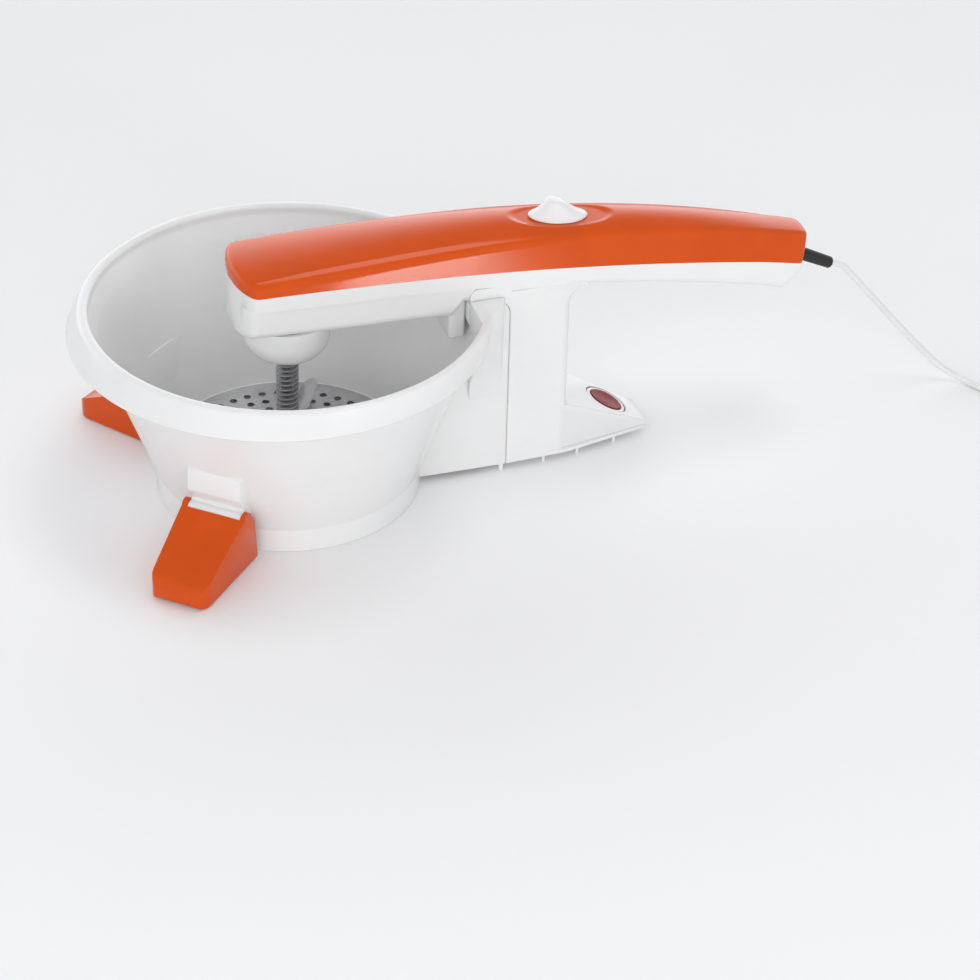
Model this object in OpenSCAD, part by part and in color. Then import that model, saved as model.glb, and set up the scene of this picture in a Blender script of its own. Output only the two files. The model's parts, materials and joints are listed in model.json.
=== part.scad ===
// Electric tomato press: a food mill with a motor unit that straddles the bowl's bracket.
// Origin: the bowl's axis at table level. +X runs along the arm to the cord, +Z is up.

/* [Bowl] */
// Height of the rim above the table
rim_h = 114; // [108:1:122]
// Radius of the bowl's mouth, inside the rim
mouth_r = 107; // [104:1:110]
// Width of the rim's top edge
rim_w = 5; // [4:0.5:6]
// Height of the skirt that hangs round the rim
skirt_h = 15; // [12:1:18]
// How far the skirt is moved away from the arm
skirt_shift = 4.5; // [3:0.5:6]
// Outer radius of the cone just under the skirt
cone_top_r = 105; // [104:0.5:106]
// Outer radius of the cone where it meets the foot ring
cone_low_r = 75; // [74:0.5:76]
// Height of the foot ring under the cone
ring_h = 17; // [15:1:19]
// Wall of the bowl
bowl_wall = 2.6; // [2.2:0.1:3]

/* [Bracket] */
// Face of the bracket on the bowl's side
bracket_x0 = 96; // [95:0.5:97]
// Face of the bracket on the column's side
bracket_x1 = 119.7; // [118:0.1:121]
// Half width of the bracket and of the column
bracket_hw = 26; // [24:0.5:27]
// Height of the bracket
bracket_h = 111; // [108:0.5:112]
// Height of the bracket and column over the table
bracket_lift = 3.6; // [3:0.1:4.5]

/* [Sieve] */
// Radius of the sieve disc
sieve_r = 70.6; // [69:0.1:71]
// Thickness of the sieve sheet
sieve_t = 1; // [0.8:0.1:1.4]
// Radius of one sieve hole
sieve_hole_r = 2.1; // [1.5:0.1:2.3]

/* [Paddle] */
// Reach of the blades from the axis
blade_r = 65; // [60:1:67]
// Thickness of the blade sheet
blade_t = 1.2; // [1:0.1:1.6]
// Lean of the blades from upright, in degrees
blade_lean = 38; // [30:1:42]
// Radius of the paddle's hub
hub_r = 9.5; // [9:0.5:11]
// Height of the paddle's hub
hub_h = 24; // [22:1:26]
// Radius of the drive shaft
shaft_r = 4; // [3.5:0.1:4.2]
// How far the paddle can ride up its shaft
paddle_lift = 5; // [3:0.5:6]

/* [Spring] */
// Mean radius of the pressure spring
spring_r = 5.7; // [5.6:0.1:6]
// Radius of the spring's wire
spring_wire_r = 0.8; // [0.6:0.05:0.9]
// Turns of the spring
spring_turns = 12; // [9:1:12]

/* [Arm] */
// Height of the orange shell's highest point
arm_top = 148.8; // [147:0.1:151]
// Place of that highest point
crest_x = 100; // [95:1:105]
// Radius of the arm's back in front of it, seen from the side
front_bend_r = 1577; // [1400:1:1700]
// Radius of the arm's back behind it, seen from the side
back_bend_r = 633; // [600:1:700]
// Highest point of the joint between the shells
split_top = 135.2; // [134:0.1:138]
// Radius of the joint line, seen from the side
split_bend_r = 1667; // [1500:1:1800]
// Front end of the arm
nose_x = -32.5; // [-34:0.5:-31]
// Back end of the arm
tail_x = 302; // [296:1:308]
// Half width of the arm at the nose
nose_hw = 29; // [28:0.5:31]
// Half width of the arm at the tail
tail_hw = 20; // [18:0.5:22]
// Wall of the arm's shells
shell_wall = 2.4; // [2:0.1:2.8]
// Depth of the gear case's underside at the nose
case_low = 107; // [106:0.5:108]

/* [Column] */
// Front face of the column
column_x0 = 120; // [118.3:0.1:121.3]
// Back face of the column
column_x1 = 156.5; // [152:0.5:157]
// Thickness of the base cover
cover_t = 2; // [1.6:0.1:2.6]
// Back tip of the heel
heel_x = 209; // [204:1:214]
// Half width of the heel's tip
heel_tip_hw = 12; // [10:1:14]

/* [Controls] */
// Radius of the release button
button_r = 10; // [9:0.5:10.5]
// Travel of the release button
button_travel = 2.5; // [1.5:0.5:3]
// Place of the switch along the arm
switch_x = 156; // [152:1:160]
// Travel of the switch each way
switch_travel = 6; // [4:1:7]

/* [Feet] */
// Angle of each foot from the arm, in degrees
foot_angle = 130.5; // [126:0.5:136]
// Reach of a foot's tip from the bowl's axis
foot_tip_r = 137.5; // [134:0.5:142]
// Half width of a foot at its ears
foot_hw = 19; // [17.5:0.5:20]
// Half width of a foot at its tip
foot_tip_hw = 16.5; // [15:0.5:17]
// Radius of the foot's hinge pin
foot_pin_r = 2; // [1.5:0.1:2.4]

/* [Gears] */
// Module of the gear teeth
gear_mod = 1; // [0.9:0.05:1]
// Teeth of the output gear
output_teeth = 42; // [40:1:43]
// Teeth of the middle gear
middle_teeth = 40; // [38:1:41]
// Teeth of both pinions
pinion_teeth = 12; // [12:1:13]
// Running clearance round each axle
axle_gap = 0.06; // [0.03:0.01:0.09]
// Radius of the belt's groove on the large pulley
pulley_r = 15; // [14:0.5:15.5]
// Radius of the belt's groove on the motor pulley
motor_pulley_r = 5; // [4.5:0.5:6]

/* [Motor] */
// Radius of the motor's can
motor_r = 13.8; // [13:0.1:14]
// Length of the motor's can
motor_h = 52; // [45:1:56]
// Place of the motor's axis
motor_x = 136.8; // [136.5:0.1:137.2]

/* [Cord] */
// Diameter of the mains cord
cord_d = 3.8; // [3.6:0.1:4]
// Length of the strain relief
relief_l = 27.5; // [24:0.5:34]

/* [Hidden] */
white = [0.93, 0.93, 0.92];
orange = [0.85, 0.32, 0.1];
over = 1;             // overrun of a cut past its face
seat_gap = 0.3;       // gap of parts that sit together on different bodies
fit_gap = 0.2;        // gap of a fixed piece in its pocket
fine = 96;
mid = 48;
low = 24;

// Bowl, worked out
rim_r = mouth_r + rim_w;
rim_round = 2;
skirt_r = rim_r + 2.5 * rim_w / 5;
skirt_z = rim_h - skirt_h;
ledge_r = 63;
ledge_t = 2.6;
ledge_z = ring_h - ledge_t;
ring_r = cone_low_r - 1.2 * rim_w / 5;
cone_slope = (cone_top_r - cone_low_r) / (skirt_z - ring_h);
function cone_r(z) = cone_low_r + (z - ring_h) * cone_slope;
bracket_round = 8;
bracket_wall = 2.6;
bracket_back = 60;
slot_neck_hw = 5.4;
slot_head_hw = 10.4;
slot_depth = 8;
slot_neck = 3;
guide_x0 = bracket_x1 - slot_depth;
rib_t = 1.8;

// Feet, worked out
foot_z0 = 1;
foot_tip_h = 11;
foot_back_r = 77.5;
hinge_r = 88;
hinge_z = 30;
ear_r = 4.6;
knuckle_r = 3.6;
web_gap = 0.25;
ear_t = 3;
lug_hw = foot_hw - ear_t - seat_gap;
lug_face_r = 90;
lug_top = 56;
foot_top_z = 32.2;
web_r = hinge_r + knuckle_r + web_gap;
fold_share = 0.44;

// Shaft and paddle, worked out
sieve_z = ledge_z + ledge_t;
sieve_top = sieve_z + sieve_t;
blade_gap = 0.4;
blade_low = 15;
blade_high = 15;
hub_z = sieve_top + blade_gap;
hub_top = hub_z + hub_h;
pin_r = 1.25;
pin_z = hub_z + 14;
shaft_low = hub_z + rim_round + fit_gap;
sieve_bore = sieve_hole_r;
dome_r = 24;
dome_low = 82;
bush_wall = 2.5;
washer_t = 1;
spring_z0 = hub_top + spring_wire_r + 0.05;
spring_z1 = dome_low - washer_t - seat_gap - spring_wire_r;
washer_r = spring_r + spring_wire_r + 0.6;

// Arm, worked out
back_x = 60;
split_x = -23;
handle_x = 10;
handle_bend_r = 1060;
handle_low = 124.2;
lip_h = 9;
recess = 3.5;
corner_r = 6;
joint_gap = 0.15;
saddle_gap = 0.3;
saddle_z = bracket_h + saddle_gap;
hook_x0 = 86;
hook_low = 88;
hook_hw = 21;
case_fall_share = 0.032;
function bend(x, x0, z0, r) = z0 - r + sqrt(r * r - (x - x0) * (x - x0));
function back_z(x) = bend(x, crest_x, arm_top, x < crest_x ? front_bend_r : back_bend_r);
function split_z(x) = bend(x, split_x, split_top, split_bend_r);
function handle_z(x) = bend(x, handle_x, handle_low, handle_bend_r);
function case_z(x) = case_low - (x - nose_x) * case_fall_share;
arm_l = tail_x - nose_x;
function arm_hw(x) = let (s = max(0, (x - back_x / 2) / (tail_x - back_x / 2)))
    nose_hw + (tail_hw - nose_hw) * (0.75 * s + 0.25 * s * s);

// Gears, worked out
output_x = 0;
middle_x = gear_mod * (output_teeth + pinion_teeth) / 2;
pulley_x = middle_x + gear_mod * (middle_teeth + pinion_teeth) / 2;
gear_floor = case_z(pulley_x) + shell_wall + 1.6;
stage_h = 9;
stage_gap = 1.2;
output_z = case_low + shell_wall + 2.2;
upper_z = output_z + stage_h + stage_gap;
upper_h = 7;
plate_z = upper_z + upper_h + 2.6;
plate_t = 1.6;
spindle_r = 2;
belt_z = 117.4;
belt_t = 1.4;
belt_h = 4;
belt_gap = 0.25;
flange_t = 1.2;

// Motor, worked out
motor_z = 47;
motor_plate_t = 2;
motor_shaft_r = 1.5;
motor_top = motor_z + motor_h;
boss_r = 4.5;
boss_h = 3;

// Column and heel, worked out
column_hw1 = 24;
column_round = 6;
fillet_r = 12;
cover_z = bracket_lift;
wall_z = cover_z + cover_t;
heel_top_x = 157;
heel_top_z = 35;
heel_tip_z = 8;
heel_wall = 2.4;
heel_angle = atan((heel_top_z - heel_tip_z) / (heel_x - heel_top_x));
button_x = 188;
button_gap = 0.4;
button_h = 7;
button_proud = 0.6;
ring_cut_r = button_r + 3;
ring_cut = 1.4;
button_z = heel_top_z - (button_x - heel_top_x) * tan(heel_angle);
latch_z = 9;
latch_h = 5;
latch_hw = 4.6;
latch_travel = 2.5;

// A closed skin through rings of points that all lie the same way round
module skin(rings) {
    n = len(rings[0]);
    m = len(rings);
    flat = [for (r = rings) each r];
    ends = [middle(rings[0]), middle(rings[m - 1])];
    sides = [for (i = [0:m - 2], j = [0:n - 1]) each
        let (a = i * n + j, b = i * n + (j + 1) % n)
        [[a, a + n, b], [b, a + n, b + n]]];
    caps = [for (j = [0:n - 1]) each
        [[m * n, j, (j + 1) % n],
         [m * n + 1, (m - 1) * n + (j + 1) % n, (m - 1) * n + j]]];
    polyhedron(concat(flat, ends), concat(sides, caps), convexity = 8);
}
function middle(ring) = [for (k = [0:2]) (min([for (p = ring) p[k]]) + max([for (p = ring) p[k]])) / 2];

// A round tube along points: each ring stands square to the path
function unit(v) = v / norm(v);
function tube_rings(path, r, sides) = let (n = len(path)) [for (i = [0:n - 1])
    let (t = unit(path[min(i + 1, n - 1)] - path[max(i - 1, 0)]),
         side = unit(cross([0, 0, 1], abs(t[2]) > 0.99 ? [1, 0, 0] : t)),
         up = cross(t, side))
    [for (k = [0:sides - 1]) path[i] + r * (cos(360 * k / sides) * side + sin(360 * k / sides) * up)]];
function least_gap(path, r, skip) = min([for (i = [0:len(path) - 1 - skip], j = [i + skip:len(path) - 1])
    norm(path[i] - path[j])]) - 2 * r;

// A smooth curve through chosen points
function curve(pts, steps) = [for (i = [0:len(pts) - 2], k = [0:steps - 1])
    let (t = k / steps,
         p0 = pts[max(i - 1, 0)], p1 = pts[i], p2 = pts[i + 1], p3 = pts[min(i + 2, len(pts) - 1)])
    0.5 * (2 * p1 + (p2 - p0) * t + (2 * p0 - 5 * p1 + 4 * p2 - p3) * t * t
        + (3 * p1 - p0 - 3 * p2 + p3) * t * t * t)];

// A rod with a rounded end and a bore
module tube_z(z0, h, r, bore) {
    translate([0, 0, z0]) difference() {
        cylinder(h = h, r = r, $fn = mid);
        translate([0, 0, -over]) cylinder(h = h + 2 * over, r = bore, $fn = mid);
    }
}

// Profile of the bowl, cut from the axis
module bowl_turned() {
    rotate_extrude($fn = fine) polygon([[0, ledge_z], [ledge_r, ledge_z], [ledge_r, 0], [ring_r, 0],
        [ring_r, ring_h - rim_round], [cone_low_r, ring_h], [cone_top_r, skirt_z],
        [mouth_r + bowl_wall, rim_h - rim_w],
        [mouth_r + bowl_wall, rim_h - rim_round], [0, rim_h - rim_round]]);
}
module bowl_inside() {
    rotate_extrude($fn = fine) polygon([[0, -over], [ledge_r, -over], [ledge_r, sieve_z],
        [cone_low_r - bowl_wall - seat_gap, sieve_z], [cone_r(sieve_z + ledge_t) - bowl_wall, sieve_z + ledge_t],
        [cone_top_r - bowl_wall, skirt_z], [mouth_r, rim_h - rim_w], [mouth_r, rim_h - rim_round / 2],
        [mouth_r + rim_round / 2, rim_h], [mouth_r + rim_round / 2, rim_h + over], [0, rim_h + over]]);
    rotate_extrude($fn = fine) polygon([[0, -over], [ring_r - bowl_wall, -over],
        [ring_r - bowl_wall, ledge_z - rim_w], [ledge_r, ledge_z], [0, ledge_z]]);
}
module rim_band() {
    hull() {
        translate([-skirt_shift, 0, skirt_z]) cylinder(h = rim_round, r = skirt_r + rim_round / 4, $fn = fine);
        translate([0, 0, rim_h - rim_round]) cylinder(h = rim_round / 2, r = rim_r, $fn = fine);
        translate([0, 0, rim_h - rim_round]) cylinder(h = rim_round, r = rim_r - rim_round / 2, $fn = fine);
    }
}
module rim_under() {
    hull() {
        translate([-skirt_shift, 0, skirt_z - over])
            cylinder(h = over, r = skirt_r - bowl_wall, $fn = fine);
        translate([0, 0, rim_h - bowl_wall - rim_round])
            cylinder(h = rim_round / 4, r = rim_r - bowl_wall, $fn = fine);
    }
}
module bracket_side(x0, x1, z0, z1, hw, round) {
    translate([0, hw, 0]) rotate([90, 0, 0]) linear_extrude(2 * hw)
        polygon(concat([[x0, z0], [x1, z0]],
            [for (a = [0:15:90]) [x1 - round + round * cos(a), z1 - round + round * sin(a)]],
            [[x0, z1]]));
}
module foot_frame(side) {
    rotate([0, 0, side * foot_angle]) children();
}
module foot_lug() {
    rotate([90, 0, 0]) translate([0, 0, -lug_hw]) linear_extrude(2 * lug_hw) {
        polygon([[cone_r(hinge_z) - bowl_wall, hinge_z - knuckle_r], [hinge_r, hinge_z - knuckle_r],
            [hinge_r - knuckle_r / 2, hinge_z + knuckle_r], [hinge_r - knuckle_r / 2, hinge_z + knuckle_r * 1.4],
            [lug_face_r, lug_top - rim_round],
            [lug_face_r - rim_round, lug_top], [cone_r(lug_top) - bowl_wall, lug_top]]);
        translate([hinge_r, hinge_z]) circle(r = knuckle_r, $fn = low);
    }
}

module bowl() {
    color(white) difference() {
        union() {
            difference() {
                union() {
                    bowl_turned();
                    difference() {
                        rim_band();
                        rim_under();
                    }
                    bracket_side(bracket_back, bracket_x0 + bowl_wall, bracket_lift, skirt_z, bracket_hw, bowl_wall);
                    for (s = [-1, 1]) foot_frame(s) foot_lug();
                }
                bowl_inside();
            }
            translate([bracket_x0, -bracket_hw, bracket_lift])
                cube([guide_x0 - bracket_x0, 2 * bracket_hw, bracket_h - bracket_lift]);
        }
        // hollow of the bracket, open at its foot
        bracket_side(bracket_x0 + bracket_wall, bracket_x1 - slot_depth - slot_neck, bracket_lift - over,
            bracket_h - bracket_wall, bracket_hw - bracket_wall, bracket_wall);
        difference() {
            bracket_side(bracket_back, bracket_x0 + bracket_wall + over, bracket_lift - over,
                skirt_z - bracket_wall, bracket_hw - bracket_wall, bracket_wall);
            bowl_turned();
            translate([bracket_x0, -bracket_hw, cone_low_r])
                cube([bracket_wall, 2 * bracket_hw, rim_h]);
        }
        // way for the arm over the rim
        translate([hook_x0 - skirt_shift, -nose_hw - seat_gap, bracket_h])
            cube([skirt_r, 2 * (nose_hw + seat_gap), rim_h]);
        // bores of the hinge pins
        for (s = [-1, 1]) foot_frame(s) translate([hinge_r, lug_hw + over, hinge_z]) rotate([90, 0, 0])
            cylinder(h = 2 * (lug_hw + over), r = foot_pin_r, $fn = mid);
    }
}

// Two uprights of L section on the bracket, with the slot for the column's rail between them, open at the top
module guide_strips() {
    color(white) difference() {
        union() {
            intersection() {
                bracket_side(bracket_x0, bracket_x1, bracket_lift, bracket_h, bracket_hw, bracket_round);
                translate([guide_x0, -bracket_hw, bracket_lift]) cube([slot_depth, 2 * bracket_hw, bracket_h]);
            }
            translate([bracket_x1 - rib_t * 2, -bracket_hw, 0]) cube([rib_t, 2 * bracket_hw, bracket_lift + over]);
        }
        translate([guide_x0 - over, -slot_head_hw, bracket_lift - over])
            cube([slot_depth - slot_neck + over, 2 * slot_head_hw, rim_h]);
        translate([guide_x0 - over, -slot_neck_hw, -over])
            cube([slot_depth + 2 * over, 2 * slot_neck_hw, rim_h + over]);
    }
}

sieve_rings = 6;
sieve_step = 8.2;
sieve_first = 18.5;
module sieve_disc() {
    color("silver") difference() {
        translate([0, 0, sieve_z]) cylinder(h = sieve_t, r = sieve_r, $fn = fine);
        translate([0, 0, sieve_z - over]) cylinder(h = sieve_t + 2 * over, r = sieve_bore, $fn = mid);
        for (k = [0:sieve_rings - 1]) let (r = sieve_first + k * sieve_step, n = 12 + 6 * k)
            for (i = [0:n - 1]) rotate([0, 0, 360 * (i + k / 2) / n]) translate([r, 0, sieve_z - over])
                cylinder(h = sieve_t + 2 * over, r = sieve_hole_r, $fn = 16);
    }
}

// Foot: a hollow wedge with two ears round the lug
module foot() {
    difference() {
        intersection() {
            rotate([90, 0, 0]) translate([0, 0, -foot_hw]) linear_extrude(2 * foot_hw)
                polygon(concat([[foot_back_r, foot_z0], [foot_tip_r - rim_round, foot_z0], [foot_tip_r, foot_z0 + rim_round],
                    [foot_tip_r, foot_z0 + foot_tip_h - rim_round], [foot_tip_r - rim_round, foot_z0 + foot_tip_h]],
                    [[web_r, foot_top_z]],
                    [for (a = [70:20:170]) [hinge_r + ear_r * cos(a), hinge_z + ear_r * sin(a)]],
                    [[foot_back_r + ear_t, hinge_z - ear_r]]));
            linear_extrude(foot_top_z * 2) polygon([[foot_back_r - over, -foot_hw], [hinge_r, -foot_hw],
                [foot_tip_r, -foot_tip_hw], [foot_tip_r, foot_tip_hw], [hinge_r, foot_hw], [foot_back_r - over, foot_hw]]);
        }
        // room for the lug between the ears
        translate([foot_back_r - over, -lug_hw - seat_gap, foot_z0 + foot_tip_h])
            cube([web_r - foot_back_r + over, 2 * (lug_hw + seat_gap), foot_top_z]);
        // hollow underside
        rotate([90, 0, 0]) translate([0, 0, -foot_tip_hw + ear_t]) linear_extrude(2 * (foot_tip_hw - ear_t))
            polygon([[foot_back_r + ear_t, foot_z0 - over], [foot_tip_r - ear_t, foot_z0 - over],
                [foot_tip_r - ear_t, foot_z0 + foot_tip_h / 2], [web_r + ear_t, foot_top_z - 1.6 * ear_t],
                [web_r + ear_t, foot_z0 + foot_tip_h], [foot_back_r + ear_t, foot_z0 + foot_tip_h]]);
        translate([hinge_r, foot_hw + over, hinge_z]) rotate([90, 0, 0])
            cylinder(h = 2 * (foot_hw + over), r = foot_pin_r + axle_gap, $fn = mid);
    }
}
module left_foot() {
    color(orange) foot_frame(1) foot();
}
module right_foot() {
    color(orange) foot_frame(-1) foot();
}
module foot_pins() {
    color("silver") for (s = [-1, 1]) foot_frame(s) translate([hinge_r, foot_hw - ear_t / 4, hinge_z])
        rotate([90, 0, 0]) cylinder(h = 2 * foot_hw - ear_t / 2, r = foot_pin_r, $fn = mid);
}

module paddle_hub() {
    color(white) difference() {
        union() {
            translate([0, 0, hub_z]) cylinder(h = hub_h - rim_round, r = hub_r, $fn = mid);
            translate([0, 0, hub_top - rim_round]) cylinder(h = rim_round, r1 = hub_r, r2 = hub_r - rim_round, $fn = mid);
        }
        translate([0, 0, hub_z - over]) cylinder(h = hub_h + 2 * over, r = shaft_r + axle_gap, $fn = mid);
        // slot in which the drive pin rides
        translate([-hub_r - over, -pin_r - axle_gap, pin_z - paddle_lift - pin_r - axle_gap])
            cube([2 * (hub_r + over), 2 * (pin_r + axle_gap), paddle_lift + 2 * (pin_r + axle_gap)]);
        for (s = [0, 180]) rotate([0, 0, s + blade_turn]) blade_sheet(fit_gap / 4);
    }
}
blade_steps = 12;
blade_turn = 60;          // turn of the blades at rest
module blade_sheet(grow) {
    reach = blade_r - hub_r;
    translate([0, 0, hub_z + blade_low * cos(blade_lean) + blade_t * sin(blade_lean)]) rotate([blade_lean, 0, 0])
        translate([0, blade_t / 2 + grow, 0]) rotate([90, 0, 0]) linear_extrude(blade_t + 2 * grow)
        polygon(concat([[shaft_r * 1.4 - grow, -blade_low - grow], [blade_r + grow, -blade_low - grow]],
            [for (k = [0:blade_steps]) let (u = k / blade_steps, a = 90 * u)
                [hub_r + reach * cos(a) + grow, -blade_low + (blade_low + blade_high) * pow(sin(a), 1.4) + ear_t * (1 - u) + grow]],
            [[shaft_r * 1.4 - grow, blade_high + grow]]));
}
module paddle_blades() {
    color("silver") for (s = [0, 180]) rotate([0, 0, s + blade_turn]) blade_sheet(0);
}

// Spring wire: its curls, with an end that runs straight for one wire at each side
spring_rings = 8;
function helix(r, z0, z1, turns) = [for (i = [0:turns * spring_rings])
    let (a = 360 * i / spring_rings) [r * cos(a), r * sin(a), z0 + (z1 - z0) * i / (turns * spring_rings)]];
function spring_path(r, wire, z0, z1, turns) = let (h = helix(r, z0, z1, turns), n = len(h) - 1,
    t0 = unit(h[1] - h[0]), t1 = unit(h[n] - h[n - 1]))
    concat([h[0] - 2 * wire * [0, t0[1], 0]], h, [h[n] + 2 * wire * [0, t1[1], 0]]);
module pressure_spring() {
    path = spring_path(spring_r, spring_wire_r, spring_z0, spring_z1, spring_turns);
    echo(spring_least_gap = least_gap(path, spring_wire_r, spring_rings - 1));
    color("silver") skin(tube_rings(path, spring_wire_r, 6));
}
module spring_washer() {
    color("silver") tube_z(dome_low - seat_gap - washer_t, washer_t, washer_r, shaft_r);
}

shaft_top = plate_z + plate_t + 3;
module drive_shaft() {
    color("silver") difference() {
        union() {
            translate([0, 0, shaft_low]) cylinder(h = shaft_top - shaft_low, r = shaft_r, $fn = mid);
            translate([0, 0, shaft_low - rim_round]) cylinder(h = rim_round, r1 = shaft_r / 2, r2 = shaft_r, $fn = mid);
        }
        translate([-shaft_r - over, 0, pin_z]) rotate([0, 90, 0])
            cylinder(h = 2 * (shaft_r + over), r = pin_r, $fn = low);
    }
}
module drive_pin() {
    color("silver") translate([-hub_r + fit_gap, 0, pin_z]) rotate([0, 90, 0])
        cylinder(h = 2 * (hub_r - fit_gap), r = pin_r, $fn = low);
}

// Spur gear with involute flanks, thinned for backlash
tooth_gap = 0.3;
flank_steps = 4;
function involute(base, r) = let (c = base / max(r, base)) tan(acos(c)) * 180 / PI - acos(c);
function tooth(m, n) = let (pitch = m * n / 2, base = pitch * cos(20), root = pitch - 1.3 * m, tip = pitch + 0.8 * m,
    half = 90 / n - 90 * tooth_gap / (PI * pitch) + involute(base, pitch), start = max(base, root),
    rs = [for (k = [0:flank_steps]) start + (tip - start) * k / flank_steps])
    concat([[root, -half]], [for (r = rs) [r, -half + involute(base, r)]],
        [for (k = [flank_steps:-1:0]) [rs[k], half - involute(base, rs[k])]], [[root, half]]);
module gear_2d(n, turn) {
    t = tooth(gear_mod, n);
    polygon([for (i = [0:n - 1]) each [for (p = t) [p[0] * cos(360 * i / n + p[1] + turn), p[0] * sin(360 * i / n + p[1] + turn)]]]);
}
half_tooth = 180 / pinion_teeth;
module output_gear() {
    color("ivory") difference() {
        union() {
            translate([0, 0, output_z]) linear_extrude(stage_h) gear_2d(output_teeth, 0);
            translate([0, 0, output_z]) cylinder(h = stage_h + stage_gap / 2, r = shaft_r + bush_wall / 2, $fn = mid);
        }
        translate([0, 0, output_z - over]) cylinder(h = stage_h + 2 * over, r = shaft_r, $fn = mid);
        translate([0, 0, output_z + stage_h / 3]) difference() {
            cylinder(h = stage_h, r = gear_mod * output_teeth / 2 - 4 * gear_mod, $fn = mid);
            translate([0, 0, -over]) cylinder(h = stage_h + 2 * over, r = shaft_r + 2 * bush_wall, $fn = mid);
        }
    }
}
module middle_gear() {
    color("ivory") translate([middle_x, 0, 0]) difference() {
        union() {
            translate([0, 0, output_z]) linear_extrude(stage_h + stage_gap) gear_2d(pinion_teeth, half_tooth);
            translate([0, 0, upper_z]) linear_extrude(upper_h) gear_2d(middle_teeth, 0);
        }
        translate([0, 0, output_z - over]) cylinder(h = plate_z, r = spindle_r + axle_gap, $fn = mid);
    }
}
module groove_wheel(r, z, h) {
    translate([0, 0, z]) cylinder(h = h, r = r, $fn = mid);
    translate([0, 0, z]) cylinder(h = flange_t, r = r + belt_t + belt_gap, $fn = mid);
    translate([0, 0, z + h - flange_t]) cylinder(h = flange_t, r = r + belt_t + belt_gap, $fn = mid);
}
wheel_h = belt_h + 2 * (flange_t + belt_gap);
wheel_z = belt_z - wheel_h / 2;
module pulley_gear() {
    color("ivory") translate([pulley_x, 0, 0]) difference() {
        union() {
            groove_wheel(pulley_r, wheel_z, wheel_h);
            translate([0, 0, wheel_z]) linear_extrude(upper_z + upper_h - wheel_z) gear_2d(pinion_teeth, half_tooth);
        }
        translate([0, 0, wheel_z - over]) cylinder(h = plate_z, r = spindle_r + axle_gap, $fn = mid);
    }
}
spindle_foot = 3;
module gear_spindles() {
    color("silver") for (x = [middle_x, pulley_x])
        translate([x, 0, case_z(x) + shell_wall]) cylinder(h = plate_z + plate_t - case_z(x) - shell_wall, r = spindle_r, $fn = mid);
}
plate_x0 = -14;
plate_x1 = 66;
plate_hw = 25;
pillar_r = 2;
pillar_xs = [plate_x0 + 5, plate_x1 - 5];
pillar_y = 22.3;
module gear_plate() {
    color("lightgray") difference() {
        translate([plate_x0, -plate_hw, plate_z]) cube([plate_x1 - plate_x0, 2 * plate_hw, plate_t]);
        translate([0, 0, plate_z - over]) cylinder(h = plate_t + 2 * over, r = shaft_r + bush_wall, $fn = mid);
        for (x = [middle_x, pulley_x]) translate([x, 0, plate_z - over])
            cylinder(h = plate_t + 2 * over, r = spindle_r, $fn = mid);
        for (x = pillar_xs, y = [-pillar_y, pillar_y]) translate([x, y, plate_z - over])
            cylinder(h = plate_t + 2 * over, r = screw_r, $fn = low);
    }
}
screw_r = 1.4;
screw_head_r = 2.6;
screw_head_h = 1.8;
module plate_pillars() {
    color(white) for (x = pillar_xs, y = [-pillar_y, pillar_y])
        tube_at(x, y, lip_top(x), plate_z - lip_top(x), pillar_r, screw_r);
}
function lip_top(x) = split_z(x) - lip_h + shell_wall;
module tube_at(x, y, z, h, r, bore) {
    translate([x, y, 0]) tube_z(z, h, r, bore);
}
module screw_down(z, l) {
    translate([0, 0, z - l]) cylinder(h = l + screw_head_h / 4, r = screw_r, $fn = low);
    translate([0, 0, z]) difference() {
        cylinder(h = screw_head_h, r = screw_head_r, $fn = low);
        translate([0, 0, screw_head_h / 2]) cylinder(h = screw_head_h, r = screw_head_r / 2, $fn = 6);
    }
}
module plate_screws() {
    color("silver") for (x = pillar_xs, y = [-pillar_y, pillar_y]) translate([x, y, 0])
        screw_down(plate_z + plate_t, plate_z + plate_t - lip_top(x) - screw_r);
}
module upper_bush() {
    color("peru") difference() {
        union() {
            tube_z(plate_z - flange_t, plate_t + flange_t, shaft_r + bush_wall, shaft_r + axle_gap);
            tube_z(plate_z - flange_t, flange_t, shaft_r + 1.6 * bush_wall, shaft_r + axle_gap);
        }
    }
}
bush_low = dome_low + 0.4;
module lower_bush() {
    color("peru") tube_z(bush_low, output_z - seat_gap - bush_low, shaft_r + bush_wall, shaft_r + axle_gap);
}
dome_wall = 2.4;
module spindle_dome() {
    arc = [for (a = [0:10:90]) [dome_r * (0.42 + 0.58 * cos(a)), dome_low + (case_low - dome_low) * 0.62 * (1 - sin(a))]];
    inner = [for (a = [0:10:90]) [(dome_r - dome_wall) * (0.42 + 0.58 * cos(a)),
        dome_low + dome_wall + (case_low - dome_low) * 0.62 * (1 - sin(a))]];
    color(white) difference() {
        union() {
            difference() {
                rotate_extrude($fn = fine) polygon(concat([[0, dome_top]], [[dome_r, dome_top]], arc, [[0, dome_low]]));
                rotate_extrude($fn = fine) polygon(concat([[0, dome_top + over]], [[dome_r - dome_wall, dome_top + over]], inner,
                    [[0, dome_low + dome_wall]]));
            }
            translate([0, 0, dome_low]) cylinder(h = dome_top - dome_low, r = shaft_r + 2 * bush_wall, $fn = mid);
        }
        over_floor();
        translate([0, 0, bush_low]) cylinder(h = dome_top, r = shaft_r + bush_wall, $fn = mid);
        translate([0, 0, dome_low - over]) cylinder(h = dome_top, r = shaft_r + 1.2 * bush_wall / 2, $fn = mid);
    }
}
dome_top = case_z(0) + dome_r * case_fall_share;
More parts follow.
